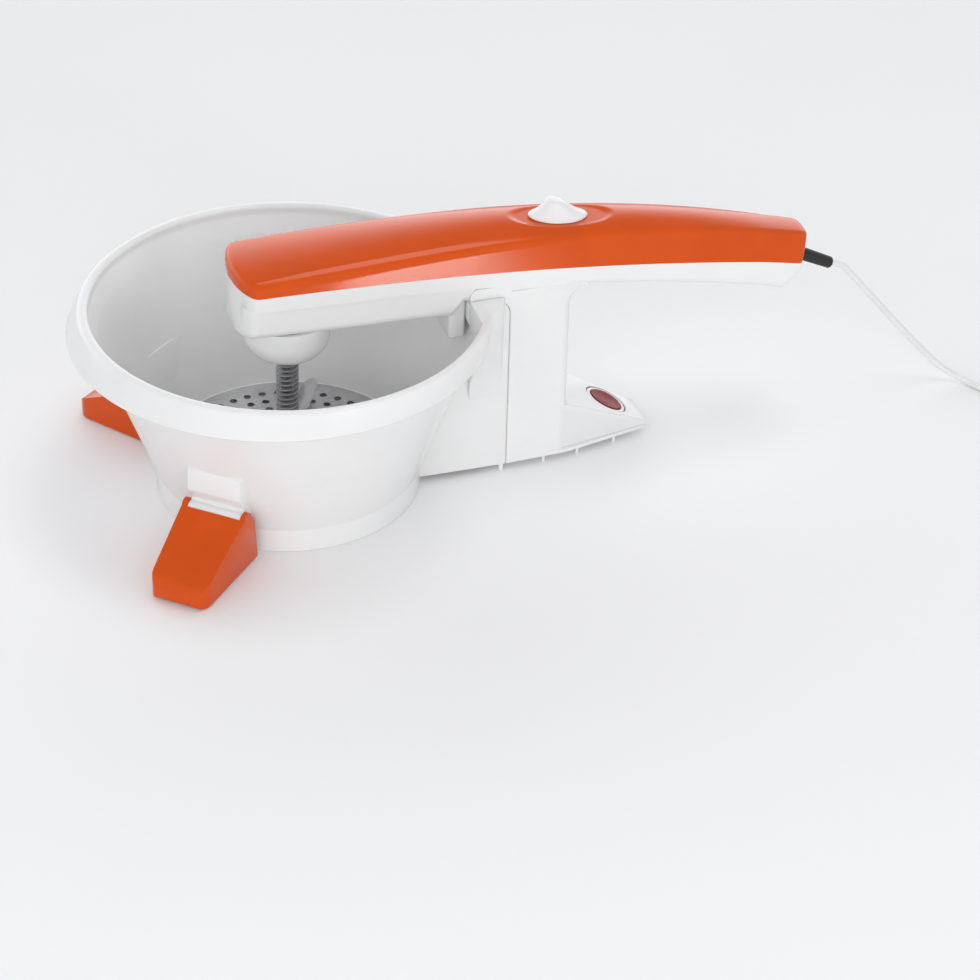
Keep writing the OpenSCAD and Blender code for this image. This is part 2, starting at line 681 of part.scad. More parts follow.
module over_floor() {
    translate([0, 0, case_z(0)]) rotate([0, atan(case_fall_share), 0])
        translate([-2 * dome_r, -2 * dome_r, 0]) cube([4 * dome_r, 4 * dome_r, dome_r]);
}

// Belt round both pulleys, a closed band with straight runs along the arm
module belt_outline(extra) {
    d = motor_x - pulley_x;
    r1 = pulley_r + extra;
    r2 = motor_pulley_r + extra;
    a = asin((r1 - r2) / d);
    polygon(concat([for (k = [0:24]) let (t = 90 - a + k * (180 + 2 * a) / 24) [pulley_x + r1 * cos(t), r1 * sin(t)]],
        [for (k = [0:16]) let (t = 270 + a + k * (180 - 2 * a) / 16) [motor_x + r2 * cos(t), r2 * sin(t)]]));
}
module drive_belt() {
    color("dimgray") translate([0, 0, belt_z - belt_h / 2]) linear_extrude(belt_h) difference() {
        belt_outline(belt_gap + belt_t);
        belt_outline(belt_gap);
    }
}
motor_shaft_top = belt_z + wheel_h / 2 + 1.5;
module motor_pulley() {
    color("ivory") translate([motor_x, 0, 0]) difference() {
        groove_wheel(motor_pulley_r, wheel_z, wheel_h);
        translate([0, 0, wheel_z - over]) cylinder(h = wheel_h + 2 * over, r = motor_shaft_r, $fn = mid);
    }
}
module motor_shaft() {
    color("silver") translate([motor_x, 0, motor_z + 4 * boss_h / 3])
        cylinder(h = motor_shaft_top - motor_z - 4 * boss_h / 3, r = motor_shaft_r, $fn = mid);
}
module motor_can() {
    color("gray") translate([motor_x, 0, 0]) difference() {
        union() {
            translate([0, 0, motor_z]) cylinder(h = motor_h, r = motor_r, $fn = mid);
            translate([0, 0, motor_top]) cylinder(h = boss_h, r = boss_r, $fn = mid);
            translate([0, 0, motor_z - boss_h]) cylinder(h = boss_h, r = boss_r, $fn = mid);
        }
        translate([0, 0, motor_z + boss_h]) cylinder(h = motor_h + boss_h, r = motor_shaft_r + axle_gap, $fn = mid);
    }
}
motor_screw_y = 9;
module motor_plate() {
    color("lightgray") difference() {
        translate([0, 0, motor_top]) linear_extrude(motor_plate_t) column_plan(shell_wall + fit_gap);
        translate([motor_x, 0, motor_top - over]) cylinder(h = motor_plate_t + 2 * over, r = boss_r + fit_gap, $fn = mid);
        for (y = [-motor_screw_y, motor_screw_y]) translate([motor_x, y, motor_top - over])
            cylinder(h = motor_plate_t + 2 * over, r = screw_r, $fn = low);
    }
}
module motor_screws() {
    color("silver") for (y = [-motor_screw_y, motor_screw_y]) translate([motor_x, y, 0])
        screw_down(motor_top + motor_plate_t, motor_plate_t);
}

// Cross-sections of the arm, all with the same count of points
case_points = 6;
nose_bulge = 4;
tail_bulge = 4.5;
bulge_l = 30;
function plan_x(x, f) = x + nose_bulge * f * f * max(0, 1 - (x - nose_x) / bulge_l)
    - tail_bulge * f * f * max(0, 1 - (tail_x - x) / bulge_l);
lip_share = 0.6;
function case_ring(x, hw, z_split, z_low, step, inset, lift) = let (
    w = hw - inset, wl = hw - step - inset, lip = z_split - min(lip_h, (z_split - z_low) * lip_share),
    r = min(corner_r, wl / 2, (lip - z_low) * 0.9), fw = arm_hw(x),
    zl = z_low + inset, half = concat([[w, z_split + lift], [w, lip + inset]],
        [[wl, min(lip + inset - 0.4 * step / recess, lip + inset - 0.05)]],
        [for (k = [0:case_points]) let (a = -90 * k / case_points) [wl - r + r * cos(a), zl + r + r * sin(a)]]))
    concat([for (i = [len(half) - 1:-1:0]) [plan_x(x, half[i][0] / fw), half[i][0], half[i][1]]],
        [for (p = half) [plan_x(x, p[0] / fw), -p[0], p[1]]]);
nose_share = [[0, 0.72], [0.03, 0.86], [0.1, 0.95], [0.2, 1]];
case_xs = [-12, 20, 50, hook_x0 + 1];
function case_step(x) = x < back_x ? recess : max(0, recess * (column_x1 - x) / (column_x1 - back_x));
function grip_z(x) = let (s = (x - tail_x + tail_round) / tail_round) x < tail_x - tail_round ? handle_z(x) :
    handle_z(x) + (split_z(x) - lip_h * tail_lip_share - handle_z(x)) * (1 - sqrt(max(0, 1 - s * s)));
tail_round = 16;
tail_lip_share = 0.35;
tail_shares = [0.05, 0.4, 0.65, 0.85, 0.96];
grip_xs = [column_x1 - 1, 170, 190, 215, 245, 270];
nose_len = 30;
module case_skin(inset, lift) {
    x0 = nose_x + inset;
    tail = tail_x - under_cut - inset;
    skin(concat(
        [for (s = nose_share) let (x = x0 + s[0] * nose_len) case_ring(x, inset + (arm_hw(x) - inset) * s[1], split_z(x), case_z(x),
            recess, inset, lift)],
        [for (x = case_xs) case_ring(x, arm_hw(x), split_z(x), case_z(x), case_step(x), inset, lift)],
        [for (x = [bracket_x0 - saddle_gap - (bracket_wall - inset), column_x1 - 2]) case_ring(x, arm_hw(x), split_z(x), saddle_z, case_step(x), inset, lift)],
        [for (x = grip_xs) case_ring(x, arm_hw(x), split_z(x), grip_z(x), case_step(x), inset, lift)],
        [for (s = tail_shares) let (x = tail_x - tail_round + s * (tail_round - under_cut) - inset)
            case_ring(x, arm_hw(x), split_z(x), grip_z(x + inset), 0, inset, lift)]));
}
under_cut = 3;

module column_plan(inset) {
    x0 = column_x0 + inset;
    x1 = column_x1 - inset;
    w0 = bracket_hw - inset;
    w1 = column_hw1 - inset;
    r = column_round;
    polygon(concat([[x0, w0], [x0, -w0]],
        [for (a = [-90:15:0]) [x1 - r + r * cos(a), -w1 + r + r * sin(a)]],
        [for (a = [0:15:90]) [x1 - r + r * cos(a), w1 - r + r * sin(a)]]));
}
module base_plan(inset) {
    x0 = column_x0 + inset;
    w0 = bracket_hw - inset;
    polygon([[x0, w0], [x0, -w0], [heel_top_x, -column_hw1 + inset], [heel_x - inset - over, -heel_tip_hw + inset],
        [heel_x - inset, -heel_tip_hw + inset + over], [heel_x - inset, heel_tip_hw - inset - over],
        [heel_x - inset - over, heel_tip_hw - inset], [heel_top_x, column_hw1 - inset]]);
}
module heel_body(inset, z0) {
    intersection() {
        translate([0, 0, z0]) linear_extrude(heel_top_z * 2) base_plan(inset);
        translate([0, bracket_hw + over, 0]) rotate([90, 0, 0]) linear_extrude(2 * (bracket_hw + over))
            polygon([[column_x1 - column_round - inset, z0 - over], [heel_x - inset, z0 - over],
                [heel_x - inset, heel_tip_z - inset],
                [heel_top_x, heel_top_z - inset], [column_x1 - column_round - inset, heel_top_z - inset]]);
    }
}
module button_frame() {
    translate([button_x, 0, button_z]) rotate([0, heel_angle, 0]) children();
}
// Fillet between the column's back and the grip
module column_fillet() {
    z0 = handle_z(column_x1 + fillet_r);
    translate([0, column_hw1 - column_round / 2, 0]) rotate([90, 0, 0]) linear_extrude(2 * column_hw1 - column_round)
        polygon(concat([[column_x1 - over, z0 - fillet_r]],
            [for (a = [180:-15:90]) [column_x1 + fillet_r + fillet_r * cos(a), z0 - fillet_r + fillet_r * sin(a)]],
            [[column_x1 + fillet_r, z0 + shell_wall], [column_x1 - over, z0 + shell_wall]]));
}
rail_z0 = 26;
rail_z1 = 104;
dock_gap = 0.4;
module column_rail() {
    head = slot_head_hw - dock_gap;
    neck = slot_neck_hw - dock_gap;
    translate([column_x0 - slot_depth + dock_gap + seat_gap, -head, rail_z0])
        cube([slot_depth - slot_neck - 2 * dock_gap - seat_gap, 2 * head, rail_z1 - rail_z0]);
    translate([column_x0 - slot_depth + dock_gap + seat_gap, -neck, rail_z0])
        cube([slot_depth, 2 * neck, rail_z1 - rail_z0]);
}
cord_exit_z = 101.1;
relief_tilt = 26;
relief_back = 4.5;
relief_r0 = 3.7;
relief_r1 = 3.4;
relief_flange = 1.6;
clamp_l = 8;
relief_x = tail_x - under_cut - shell_wall;
module relief_frame() {
    translate([relief_x, 0, cord_exit_z]) rotate([0, 90 + relief_tilt, 0]) children();
}
boss_x = [-26.2, 106, 205, 260];
shell_boss_r = 3.4;
module motor_housing() {
    color(white) difference() {
        union() {
            difference() {
                union() {
                    case_skin(0, -joint_gap);
                    column_fillet();
                    translate([0, 0, wall_z]) linear_extrude(saddle_z + shell_wall - wall_z) column_plan(0);
                    heel_body(0, wall_z);
                }
                case_skin(shell_wall, shell_wall * 2);
                translate([0, 0, wall_z - over]) linear_extrude(saddle_z + 2 * shell_wall + over - wall_z) column_plan(shell_wall);
                heel_body(heel_wall, wall_z - over);
            }
            // hook that hangs inside the bowl's rim
            translate([hook_x0, -hook_hw, hook_low])
                cube([bracket_x0 - saddle_gap - hook_x0, 2 * hook_hw, saddle_z + shell_wall / 2 - hook_low]);
            column_rail();
            // seats of the gear spindles and of the shell's screws
            for (x = [middle_x, pulley_x]) translate([x, 0, case_z(x) + shell_wall / 2])
                cylinder(h = shell_wall / 2 + 1.2, r = spindle_r + shell_wall, $fn = low);
            for (x = boss_x) tube_at(x, 0, floor_z(x) + shell_wall / 2, split_z(x) - floor_z(x) - shell_wall * 1.2, shell_boss_r, screw_r);
            intersection() {
                button_frame() translate([0, 0, -button_h - heel_wall]) difference() {
                    cylinder(h = button_h + heel_wall, r = ring_cut_r + heel_wall / 2, $fn = mid);
                    translate([0, 0, -over]) cylinder(h = button_h, r = button_r + button_gap + heel_wall / 2, $fn = mid);
                }
                heel_body(0, wall_z);
            }
        }
        for (x = [middle_x, pulley_x]) translate([x, 0, case_z(x) + shell_wall]) cylinder(h = plate_z, r = spindle_r, $fn = mid);
        for (x = boss_x) translate([x, 0, floor_z(x) - over]) cylinder(h = rim_h, r = screw_r, $fn = low);
        // seat of the dome and the bush
        translate([0, 0, case_low - dome_r]) cylinder(h = 2 * dome_r, r = dome_r - dome_wall * 2, $fn = mid);
        // holes of the button, its ring and the latch
        button_frame() translate([0, 0, -button_h * 3]) cylinder(h = button_h * 5, r = button_r + button_gap, $fn = mid);
        button_frame() translate([0, 0, -ring_cut]) cylinder(h = button_h * 2, r = ring_cut_r, $fn = mid);
        translate([column_x0 - over, -latch_hw - fit_gap, latch_z - fit_gap])
            cube([2 * shell_wall + 2 * over, 2 * (latch_hw + fit_gap), latch_h + 2 * fit_gap]);
        translate([column_x1 - column_round - shell_wall * 2, -latch_hw - fit_gap, wall_z - over])
            cube([column_round * 3, 2 * (latch_hw + fit_gap), latch_h * 3]);
        relief_hole();
    }
}
module relief_hole() {
    relief_frame() translate([0, 0, -relief_back]) cylinder(h = relief_l, r = relief_r0 + fit_gap, $fn = mid);
}
function floor_z(x) = x < bracket_x0 ? case_z(x) : x < column_x1 ? saddle_z : handle_z(x);

// Top shell: a crowned, tapering cover
crown_rise = 0.25;        // rise of the top between its two crests, as a share of the crown
nose_lean = 3.3;          // how far the flanks lean in at the nose
tail_lean = 8.5;          // how much more they lean at the tail
crest_soft = [6, 2.5];    // rounding of the crests at the nose and at the tail
function along(x) = min(1, max(0, (x - nose_x) / arm_l));
function crown_half(w, h, lean, rise, d) = let (c = [w - lean, h - rise], side = [lean, rise - h],
    a = c + d * side / norm(side), yb = c[0] - d, b = [yb, h - rise * pow(yb / c[0], 2)])
    concat([[w, 0], (a + [w, 0]) / 2],
        [for (t = [0:0.25:1]) (1 - t) * (1 - t) * a + 2 * t * (1 - t) * c + t * t * b],
        [for (k = [3:-1:1]) [yb * k / 4, h - rise * pow(yb * k / 4 / c[0], 2)]]);
function crown_ring(x, hw, z_split, z_top, inset, drop, lean) = let (w = hw - inset, h = z_top - inset - z_split + drop,
    s = along(x), f = min(1, w / arm_hw(x)), flank = f * (nose_lean + tail_lean * pow(s, 2.2)), rise = crown_rise * h * (1 - pow(s, 4)),
    half = crown_half(w, h, flank, rise, min(0.6 * (h - rise), f * (crest_soft[0] + (crest_soft[1] - crest_soft[0]) * s))), n = len(half))
    [for (q = concat(half, [[0, h]], [for (k = [n - 1:-1:0]) [-half[k][0], half[k][1]]]))
        [plan_x(x, q[0] / arm_hw(x)) + lean * (q[1] - drop), q[0], z_split - drop + q[1]]];
crown_nose = [[0, 0.7, 0.72], [0.02, 0.8, 0.84], [0.06, 0.88, 0.92], [0.13, 0.95, 0.97], [0.25, 1, 1]];
crown_xs = [0, 20, 45, 70, 95, 120, 145, 170, 195, 220, 245, 270];
crown_tail = [[0.04, 1, 1], [0.015, 0.99, 0.99], [0.004, 0.96, 0.975], [0.0, 0.91, 0.95]];
module crown_skin(inset, drop) {
    x0 = nose_x + inset;
    x1 = tail_x - inset - under_cut;
    skin(concat(
        [for (s = crown_nose) let (x = x0 + s[0] * nose_len)
            crown_ring(x, inset + (arm_hw(x) - inset) * s[1], split_z(x), split_z(x) + inset + (back_z(x) - split_z(x) - inset) * s[2], inset, drop, 0)],
        [for (x = crown_xs) crown_ring(x, arm_hw(x), split_z(x), back_z(x), inset, drop, 0)],
        [for (s = crown_tail) let (x = x1 - s[0] * arm_l)
            crown_ring(x, inset + (arm_hw(x) - inset) * s[1], split_z(x), split_z(x) + inset + (back_z(x) - split_z(x) - inset) * s[2],
                inset, drop, under_cut / split_top * 6)]));
}
dish_l = 31;
dish_hw = 13.5;
dish_depth = 2;
dish_floor_share = 0.78;
slot_l = 22;
knob_stem_hw = 3;
module top_shell() {
    color(orange) difference() {
        union() {
            difference() {
                crown_skin(0, 0);
                crown_skin(shell_wall, over);
            }
            intersection() {
                crown_skin(shell_wall / 2, 0);
                for (x = boss_x) tube_at(x, 0, split_z(x) - shell_wall / 2 + seat_gap, back_z(x) - split_z(x), shell_boss_r, screw_r);
            }
            intersection() {
                crown_skin(shell_wall / 2, 0);
                translate([switch_x, 0, back_z(switch_x)]) rotate([0, dish_tilt, 0]) translate([0, 0, -dish_depth - 2 * shell_wall])
                    scale([dish_l / dish_hw, 1, 1]) cylinder(h = dish_depth * 3, r = dish_hw + shell_wall, $fn = mid);
            }
        }
        translate([switch_x, 0, back_z(switch_x) + over]) rotate([0, dish_tilt, 0])
            scale([dish_l / dish_hw, 1, 1]) translate([0, 0, -dish_depth - over])
            cylinder(h = dish_depth + 2 * over, r1 = dish_hw * dish_floor_share, r2 = dish_hw + over, $fn = mid);
        translate([switch_x, 0, back_z(switch_x) - 4 * shell_wall]) rotate([0, dish_tilt, 0])
            translate([-slot_l / 2, -knob_stem_hw - seat_gap, -over])
            cube([slot_l, 2 * (knob_stem_hw + seat_gap), 6 * shell_wall]);
        relief_hole();
    }
}
dish_tilt = asin((switch_x - crest_x) / back_bend_r);

// Switch knob: an oval foot with concave flanks up to a cross ridge
knob_l = 35;
knob_hw = 9.2;
knob_h = 10;
knob_neck = 4;
knob_foot = 2.4;
knob_z = back_z(switch_x) - dish_depth + seat_gap;
stem_l = 8;
module switch_frame() {
    translate([switch_x, 0, knob_z]) rotate([0, dish_tilt, 0]) children();
}
module switch_knob() {
    color(white) switch_frame() {
        intersection() {
            translate([0, knob_hw, 0]) rotate([90, 0, 0]) linear_extrude(2 * knob_hw)
                polygon(concat([[-knob_l / 2, 0], [knob_l / 2, 0], [knob_l / 2, knob_foot / 2]],
                    [for (a = [0:15:75]) [knob_neck + (knob_l / 2 - knob_neck) * (1 - sin(a)) , knob_foot / 2 + (knob_h - knob_neck) * (1 - cos(a))]],
                    [for (a = [0:30:180]) [knob_neck * cos(a), knob_h - knob_neck + knob_neck * sin(a)]],
                    [for (a = [75:-15:0]) [-knob_neck - (knob_l / 2 - knob_neck) * (1 - sin(a)), knob_foot / 2 + (knob_h - knob_neck) * (1 - cos(a))]],
                    [[-knob_l / 2, knob_foot / 2]]));
            scale([knob_l / 2 / knob_hw, 1, 1]) cylinder(h = knob_h + over, r = knob_hw, $fn = mid);
        }
        translate([-stem_l / 2, -knob_stem_hw, -stem_h]) cube([stem_l, 2 * knob_stem_hw, stem_h + knob_foot / 2]);
    }
}
stem_h = 9;
body_l = 34;
body_hw = 9;
body_h = 8;
module switch_body() {
    color("dimgray") switch_frame() difference() {
        translate([-body_l / 2, -body_hw, -stem_h - seat_gap - body_h / 2]) cube([body_l, 2 * body_hw, body_h]);
        translate([-slot_l / 2, -knob_stem_hw - seat_gap, -stem_h - seat_gap]) cube([slot_l, 2 * (knob_stem_hw + seat_gap), body_h]);
    }
}
board_t = 1.6;
board_l = 52;
board_hw = 15;
module circuit_board() {
    color("seagreen") switch_frame() {
        translate([-board_l / 2, -board_hw, -stem_h - seat_gap - body_h / 2 - board_t]) cube([board_l, 2 * board_hw, board_t]);
        for (k = [-1, 1]) translate([k * board_l / 3, 0, -stem_h - seat_gap - body_h / 2 - board_t - 2 * board_t])
            cylinder(h = 2 * board_t + board_t / 2, r = 3 * board_t, $fn = low);
    }
}

module release_button() {
    color([0.5, 0.07, 0.08]) button_frame() difference() {
        union() {
            translate([0, 0, -button_h + button_proud]) cylinder(h = button_h - rim_round / 2, r = button_r, $fn = mid);
            translate([0, 0, button_proud - rim_round / 2]) cylinder(h = rim_round / 2, r1 = button_r, r2 = button_r - rim_round / 2, $fn = mid);
        }
        translate([0, 0, -button_h - over]) cylinder(h = button_h - heel_wall + over, r = button_r - heel_wall, $fn = mid);
    }
}
coil_wire_r = 0.4;
module button_spring() {
    top = -heel_wall - button_travel - coil_wire_r - fit_gap;
    low_z = -button_h - button_travel - coil_wire_r;
    color("silver") button_frame() skin(tube_rings(spring_path(button_r / 2, coil_wire_r, low_z, top, 4), coil_wire_r, 6));
}
latch_x0 = column_x0 - slot_depth + slot_neck + dock_gap;
latch_x1 = button_x - 1.4 * button_r;
window_x0 = column_x0 + 3 * shell_wall;
window_l = 6 * shell_wall;
window_hw = 3;
module latch_bar() {
    color("ivory") difference() {
        union() {
            translate([latch_x0, -latch_hw, latch_z]) cube([latch_x1 - latch_x0, 2 * latch_hw, latch_h]);
        }
        translate([window_x0, -window_hw, latch_z - over]) cube([window_l, 2 * window_hw, latch_h + 2 * over]);
    }
}
module latch_spring() {
    color("silver") translate([window_x0 + latch_travel + coil_wire_r + fit_gap, 0, latch_z + latch_h / 2]) rotate([0, 90, 0])
        skin(tube_rings(spring_path(latch_h / 2 - coil_wire_r, coil_wire_r, 0, window_l - 2 * latch_travel - 4 * coil_wire_r, 5), coil_wire_r, 6));
}

cover_screw_x = [column_x0 + 6, heel_x - 12];
module base_cover() {
    color(white) difference() {
        union() {
            translate([0, 0, cover_z]) linear_extrude(cover_t) base_plan(0);
            for (x = rib_xs) translate([x, -rib_hw(x), 0]) cube([rib_t, 2 * rib_hw(x), cover_z + cover_t / 2]);
        }
        for (x = cover_screw_x) translate([x, 0, cover_z - over]) cylinder(h = cover_t + 2 * over, r = screw_r, $fn = low);
    }
}
rib_xs = [142, 163, 187];
function rib_hw(x) = x < heel_top_x ? column_hw1 : column_hw1 - (column_hw1 - heel_tip_hw) * (x + rib_t - heel_top_x) / (heel_x - heel_top_x) - rib_t / 4;
module cover_screws() {
    color("silver") for (x = cover_screw_x) translate([x, 0, cover_z]) {
        cylinder(h = cover_t - fit_gap / 2, r = screw_r, $fn = low);
        translate([0, 0, -screw_head_h]) cylinder(h = screw_head_h, r = screw_head_r, $fn = low);
    }
}
module shell_screws() {
    color("silver") for (x = boss_x) translate([x, 0, floor_z(x)]) {
        cylinder(h = split_z(x) - floor_z(x) + 2 * shell_wall, r = screw_r, $fn = low);
    }
}

module strain_relief() {
    color([0.12, 0.12, 0.12]) relief_frame() difference() {
        union() {
            translate([0, 0, -relief_back]) cylinder(h = relief_back, r = relief_r0, $fn = mid);
            cylinder(h = relief_l, r1 = relief_r0, r2 = relief_r1, $fn = mid);
        }
        translate([0, 0, -relief_l]) cylinder(h = 2 * relief_l - relief_flange, r = cord_d / 2, $fn = low);
    }
}
module cord_clamp() {
    x = relief_x - 2.6 * clamp_l;
    color("ivory") translate([x, -clamp_l, handle_z(x) + shell_wall + fit_gap]) cube([clamp_l, 2 * clamp_l, clamp_l / 2]);
}

// Cord: down from the strain relief to the table, then into its coil
relief_end = [relief_x + relief_l * cos(relief_tilt), 0, cord_exit_z - relief_l * sin(relief_tilt)];
cord_z = cord_d / 2 + 0.05;
coil_mid = [450, -52];
coil_turns = 3.5;
coil_step = cord_d + 0.55;
coil_layer = cord_d + 0.55;
coil_in_r = 15.6;
coil_out_r = coil_in_r + coil_turns * coil_step;
coil_start = [coil_mid[0] - coil_out_r, coil_mid[1] + cord_d, cord_z];
coil_stop = [coil_mid[0] + coil_out_r, coil_mid[1] + cord_d, cord_z + coil_layer];
cord_pts = [relief_end, relief_end + [8, 0, -3.2], [338, 0, 76], [354, 0, 57], [370, 0, 38], [386, -1, 20], [397, -4, 9],
    [407, -11, cord_z + 1.5], [415, -22, cord_z], [419, -34, cord_z], coil_start + [0, cord_d, 0], coil_start];
cord_steps = 6;
module cord_run() {
    path = concat(curve(cord_pts, cord_steps), [coil_start]);
    echo(cord_run_length = path_length(path));
    color("white") skin(tube_rings(path, cord_d / 2, 8));
}
function path_length(path) = len(path) < 2 ? 0 : [for (i = 1, t = 0; i <= len(path); t = t + norm(path[min(i, len(path) - 1)] - path[i - 1]), i = i + 1) t][len(path) - 1];
coil_rings = 24;
function coil_point(u) = let (down = min(u, coil_turns), climb = min(max(u - coil_turns, 0), 0.5),
    out = max(u - coil_turns - 0.5, 0), r = coil_out_r - down * coil_step + out * coil_step, a = 180 + 360 * u)
    [coil_mid[0] + r * cos(a), coil_mid[1] + r * sin(a), cord_z + coil_layer * climb * 2];
module cord_coil() {
    n = (2 * coil_turns + 0.5) * coil_rings;
    path = concat([coil_start], [for (i = [0:n]) coil_point(i / coil_rings)], [coil_stop]);
    echo(cord_coil_length = path_length(path), cord_coil_least_gap = least_gap(path, cord_d / 2, coil_rings / 3));
    color("white") skin(tube_rings(path, cord_d / 2, 6));
}
plug_at = [476, -4];
plug_l = 34;
plug_neck_l = 14;
plug_neck_r = 4;
plug_hw = 13;
plug_h = 13;
plug_z = plug_h / 2 + 0.1;
plug_pin_r = 2;
plug_pin_l = 19;
plug_pin_y = 9.3;
neck_ribs = 4;
end_pts = [coil_stop, coil_stop + [0, cord_d, 0], [480, -34, 6.6], [477.5, -20, 7.1], [476, -9, plug_z], [476, -4, plug_z]];
module cord_end() {
    path = concat(curve(end_pts, cord_steps), [end_pts[len(end_pts) - 1]]);
    color("white") skin(tube_rings(path, cord_d / 2, 8));
}

// Plug: a flat two-pin body with a ribbed neck
module plug_frame() {
    translate([plug_at[0], plug_at[1], plug_z]) rotate([0, 0, 90]) children();
}
module plug_body() {
    shoulder = plug_l - plug_neck_l;
    color("white") plug_frame() difference() {
        union() {
            intersection() {
                translate([0, 0, -plug_h / 2]) linear_extrude(plug_h) polygon([[plug_neck_l * 0.8, -plug_neck_r], [plug_neck_l + shoulder * 0.4, -plug_hw],
                    [plug_l - over, -plug_hw], [plug_l, -plug_hw + over], [plug_l, plug_hw - over], [plug_l - over, plug_hw],
                    [plug_neck_l + shoulder * 0.4, plug_hw], [plug_neck_l * 0.8, plug_neck_r]]);
                rotate([90, 0, 0]) translate([0, 0, -plug_hw - over]) linear_extrude(2 * (plug_hw + over)) polygon([[0, -plug_neck_r], [plug_neck_l * 0.8, -plug_neck_r],
                    [plug_neck_l + shoulder * 0.3, -plug_h / 2], [plug_l, -plug_h / 2], [plug_l, plug_h / 2],
                    [plug_neck_l + shoulder * 0.3, plug_h / 2], [plug_neck_l * 0.8, plug_neck_r], [0, plug_neck_r]]);
                rotate([0, 90, 0]) scale([plug_h / plug_hw * 0.56, 1.06, 1]) cylinder(h = plug_l + over, r = plug_hw, $fn = mid);
            }
            rotate([0, 90, 0]) cylinder(h = plug_neck_l, r1 = plug_neck_r * 0.75, r2 = plug_neck_r, $fn = low);
            for (k = [1:neck_ribs]) translate([plug_neck_l * k / (neck_ribs + 1), 0, 0]) rotate([0, 90, 0])
                cylinder(h = over, r = plug_neck_r * 1.08, $fn = low);
        }
        for (s = [-1, 1]) translate([plug_l - plug_neck_l / 2, s * plug_pin_y, 0]) rotate([0, 90, 0])
            cylinder(h = plug_l, r = plug_pin_r, $fn = low);
    }
}
module plug_pins() {
    color("silver") plug_frame() for (s = [-1, 1]) translate([plug_l - plug_neck_l / 2, s * plug_pin_y, 0]) rotate([0, 90, 0]) {
        cylinder(h = plug_neck_l / 2 + plug_pin_l - over, r = plug_pin_r, $fn = low);
        translate([0, 0, plug_neck_l / 2 + plug_pin_l - over]) cylinder(h = over, r1 = plug_pin_r, r2 = plug_pin_r / 2, $fn = low);
    }
}

bowl();
guide_strips();
sieve_disc();
foot_pins();
left_foot();
right_foot();
paddle_hub();
paddle_blades();
pressure_spring();
spring_washer();
drive_shaft();
drive_pin();
output_gear();
middle_gear();
pulley_gear();
gear_spindles();
gear_plate();
plate_pillars();
plate_screws();
lower_bush();
upper_bush();
spindle_dome();
drive_belt();
motor_pulley();
motor_shaft();
motor_can();
motor_plate();
motor_screws();
motor_housing();
top_shell();
base_cover();
cover_screws();
shell_screws();
switch_knob();
switch_body();
circuit_board();
release_button();
button_spring();
latch_bar();
latch_spring();
strain_relief();
cord_clamp();
cord_run();
cord_coil();
cord_end();
plug_body();
plug_pins();
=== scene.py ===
# %% [markdown]
# # Dressing an electric tomato press
# A press of this kind is a white bowl with a sieve in its floor, and a motor unit whose long arm hangs over
# the rim and turns a paddle. The CAD model already gives every piece its place. This script gives the pieces
# the rounded edges, the mouldings and the finishes of the real thing. First the CAD frame is loaded.

# %% Load the CAD frame
import json
from math import asin, atan, cos, hypot, pi, radians, sin, sqrt, tan

import bpy
from mathutils import Matrix, Vector


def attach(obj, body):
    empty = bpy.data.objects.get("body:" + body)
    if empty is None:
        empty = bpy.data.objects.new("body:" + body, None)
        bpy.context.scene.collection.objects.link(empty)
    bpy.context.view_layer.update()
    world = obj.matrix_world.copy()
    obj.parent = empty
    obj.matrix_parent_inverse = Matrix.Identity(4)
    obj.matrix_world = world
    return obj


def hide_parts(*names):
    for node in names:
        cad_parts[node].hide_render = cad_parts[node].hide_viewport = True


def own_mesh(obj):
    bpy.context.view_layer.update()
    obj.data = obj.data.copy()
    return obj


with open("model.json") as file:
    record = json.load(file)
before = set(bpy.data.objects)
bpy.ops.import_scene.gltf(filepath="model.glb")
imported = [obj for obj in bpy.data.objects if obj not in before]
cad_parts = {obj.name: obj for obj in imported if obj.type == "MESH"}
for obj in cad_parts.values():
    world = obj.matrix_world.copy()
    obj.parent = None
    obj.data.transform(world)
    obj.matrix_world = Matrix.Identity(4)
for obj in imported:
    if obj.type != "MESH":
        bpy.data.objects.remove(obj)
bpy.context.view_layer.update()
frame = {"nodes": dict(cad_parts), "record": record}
MM = 0.001
body_nodes = frame["record"]["behaviour"]["bodies"]
body_of_node = {node: body for body, nodes in body_nodes.items() for node in nodes}
frame_slots = {part["node"]: part["material_slot"] for part in frame["record"]["subparts"]}

# %% [markdown]
# ## Camera
# The photograph looks down on the press from the front left with a long lens. The place and the tilt of the
# camera were worked out from the ellipse of the bowl's rim. A camera looks along its own -Z axis, so its
# matrix is made of its right, up and back directions and its place.

# %% Camera
CAMERA_PLACE = Vector((-365.6, -1450.2, 1006.9)) * MM
CAMERA_BACK = Vector((-0.2625, -0.7845, 0.5617)).normalized()
CAMERA_RIGHT = Vector((0.948, -0.317, 0)).normalized()
CAMERA_ROLL = 0.0275
level_up = CAMERA_BACK.cross(CAMERA_RIGHT)
rolled_right = (CAMERA_RIGHT + CAMERA_ROLL * level_up).normalized()
rolled_up = CAMERA_BACK.cross(rolled_right)
camera = bpy.data.objects.new("camera", bpy.data.cameras.new("camera"))
camera.data.lens = 117.551
camera.data.sensor_width = 36
camera.data.clip_end = 20
camera_axes = Matrix((rolled_right, rolled_up, CAMERA_BACK)).transposed().to_4x4()
camera.matrix_world = Matrix.Translation(CAMERA_PLACE) @ camera_axes
bpy.context.scene.collection.objects.link(camera)
bpy.context.scene.camera = camera
print("camera looks along", -CAMERA_BACK)

# %% [markdown]
# ## Writing materials as maths
# A material is a tree of nodes. One small class holds a node's socket and lets it be added and multiplied
# like a number, and one method adds any other node. So a finish reads as the few lines of maths that it is.

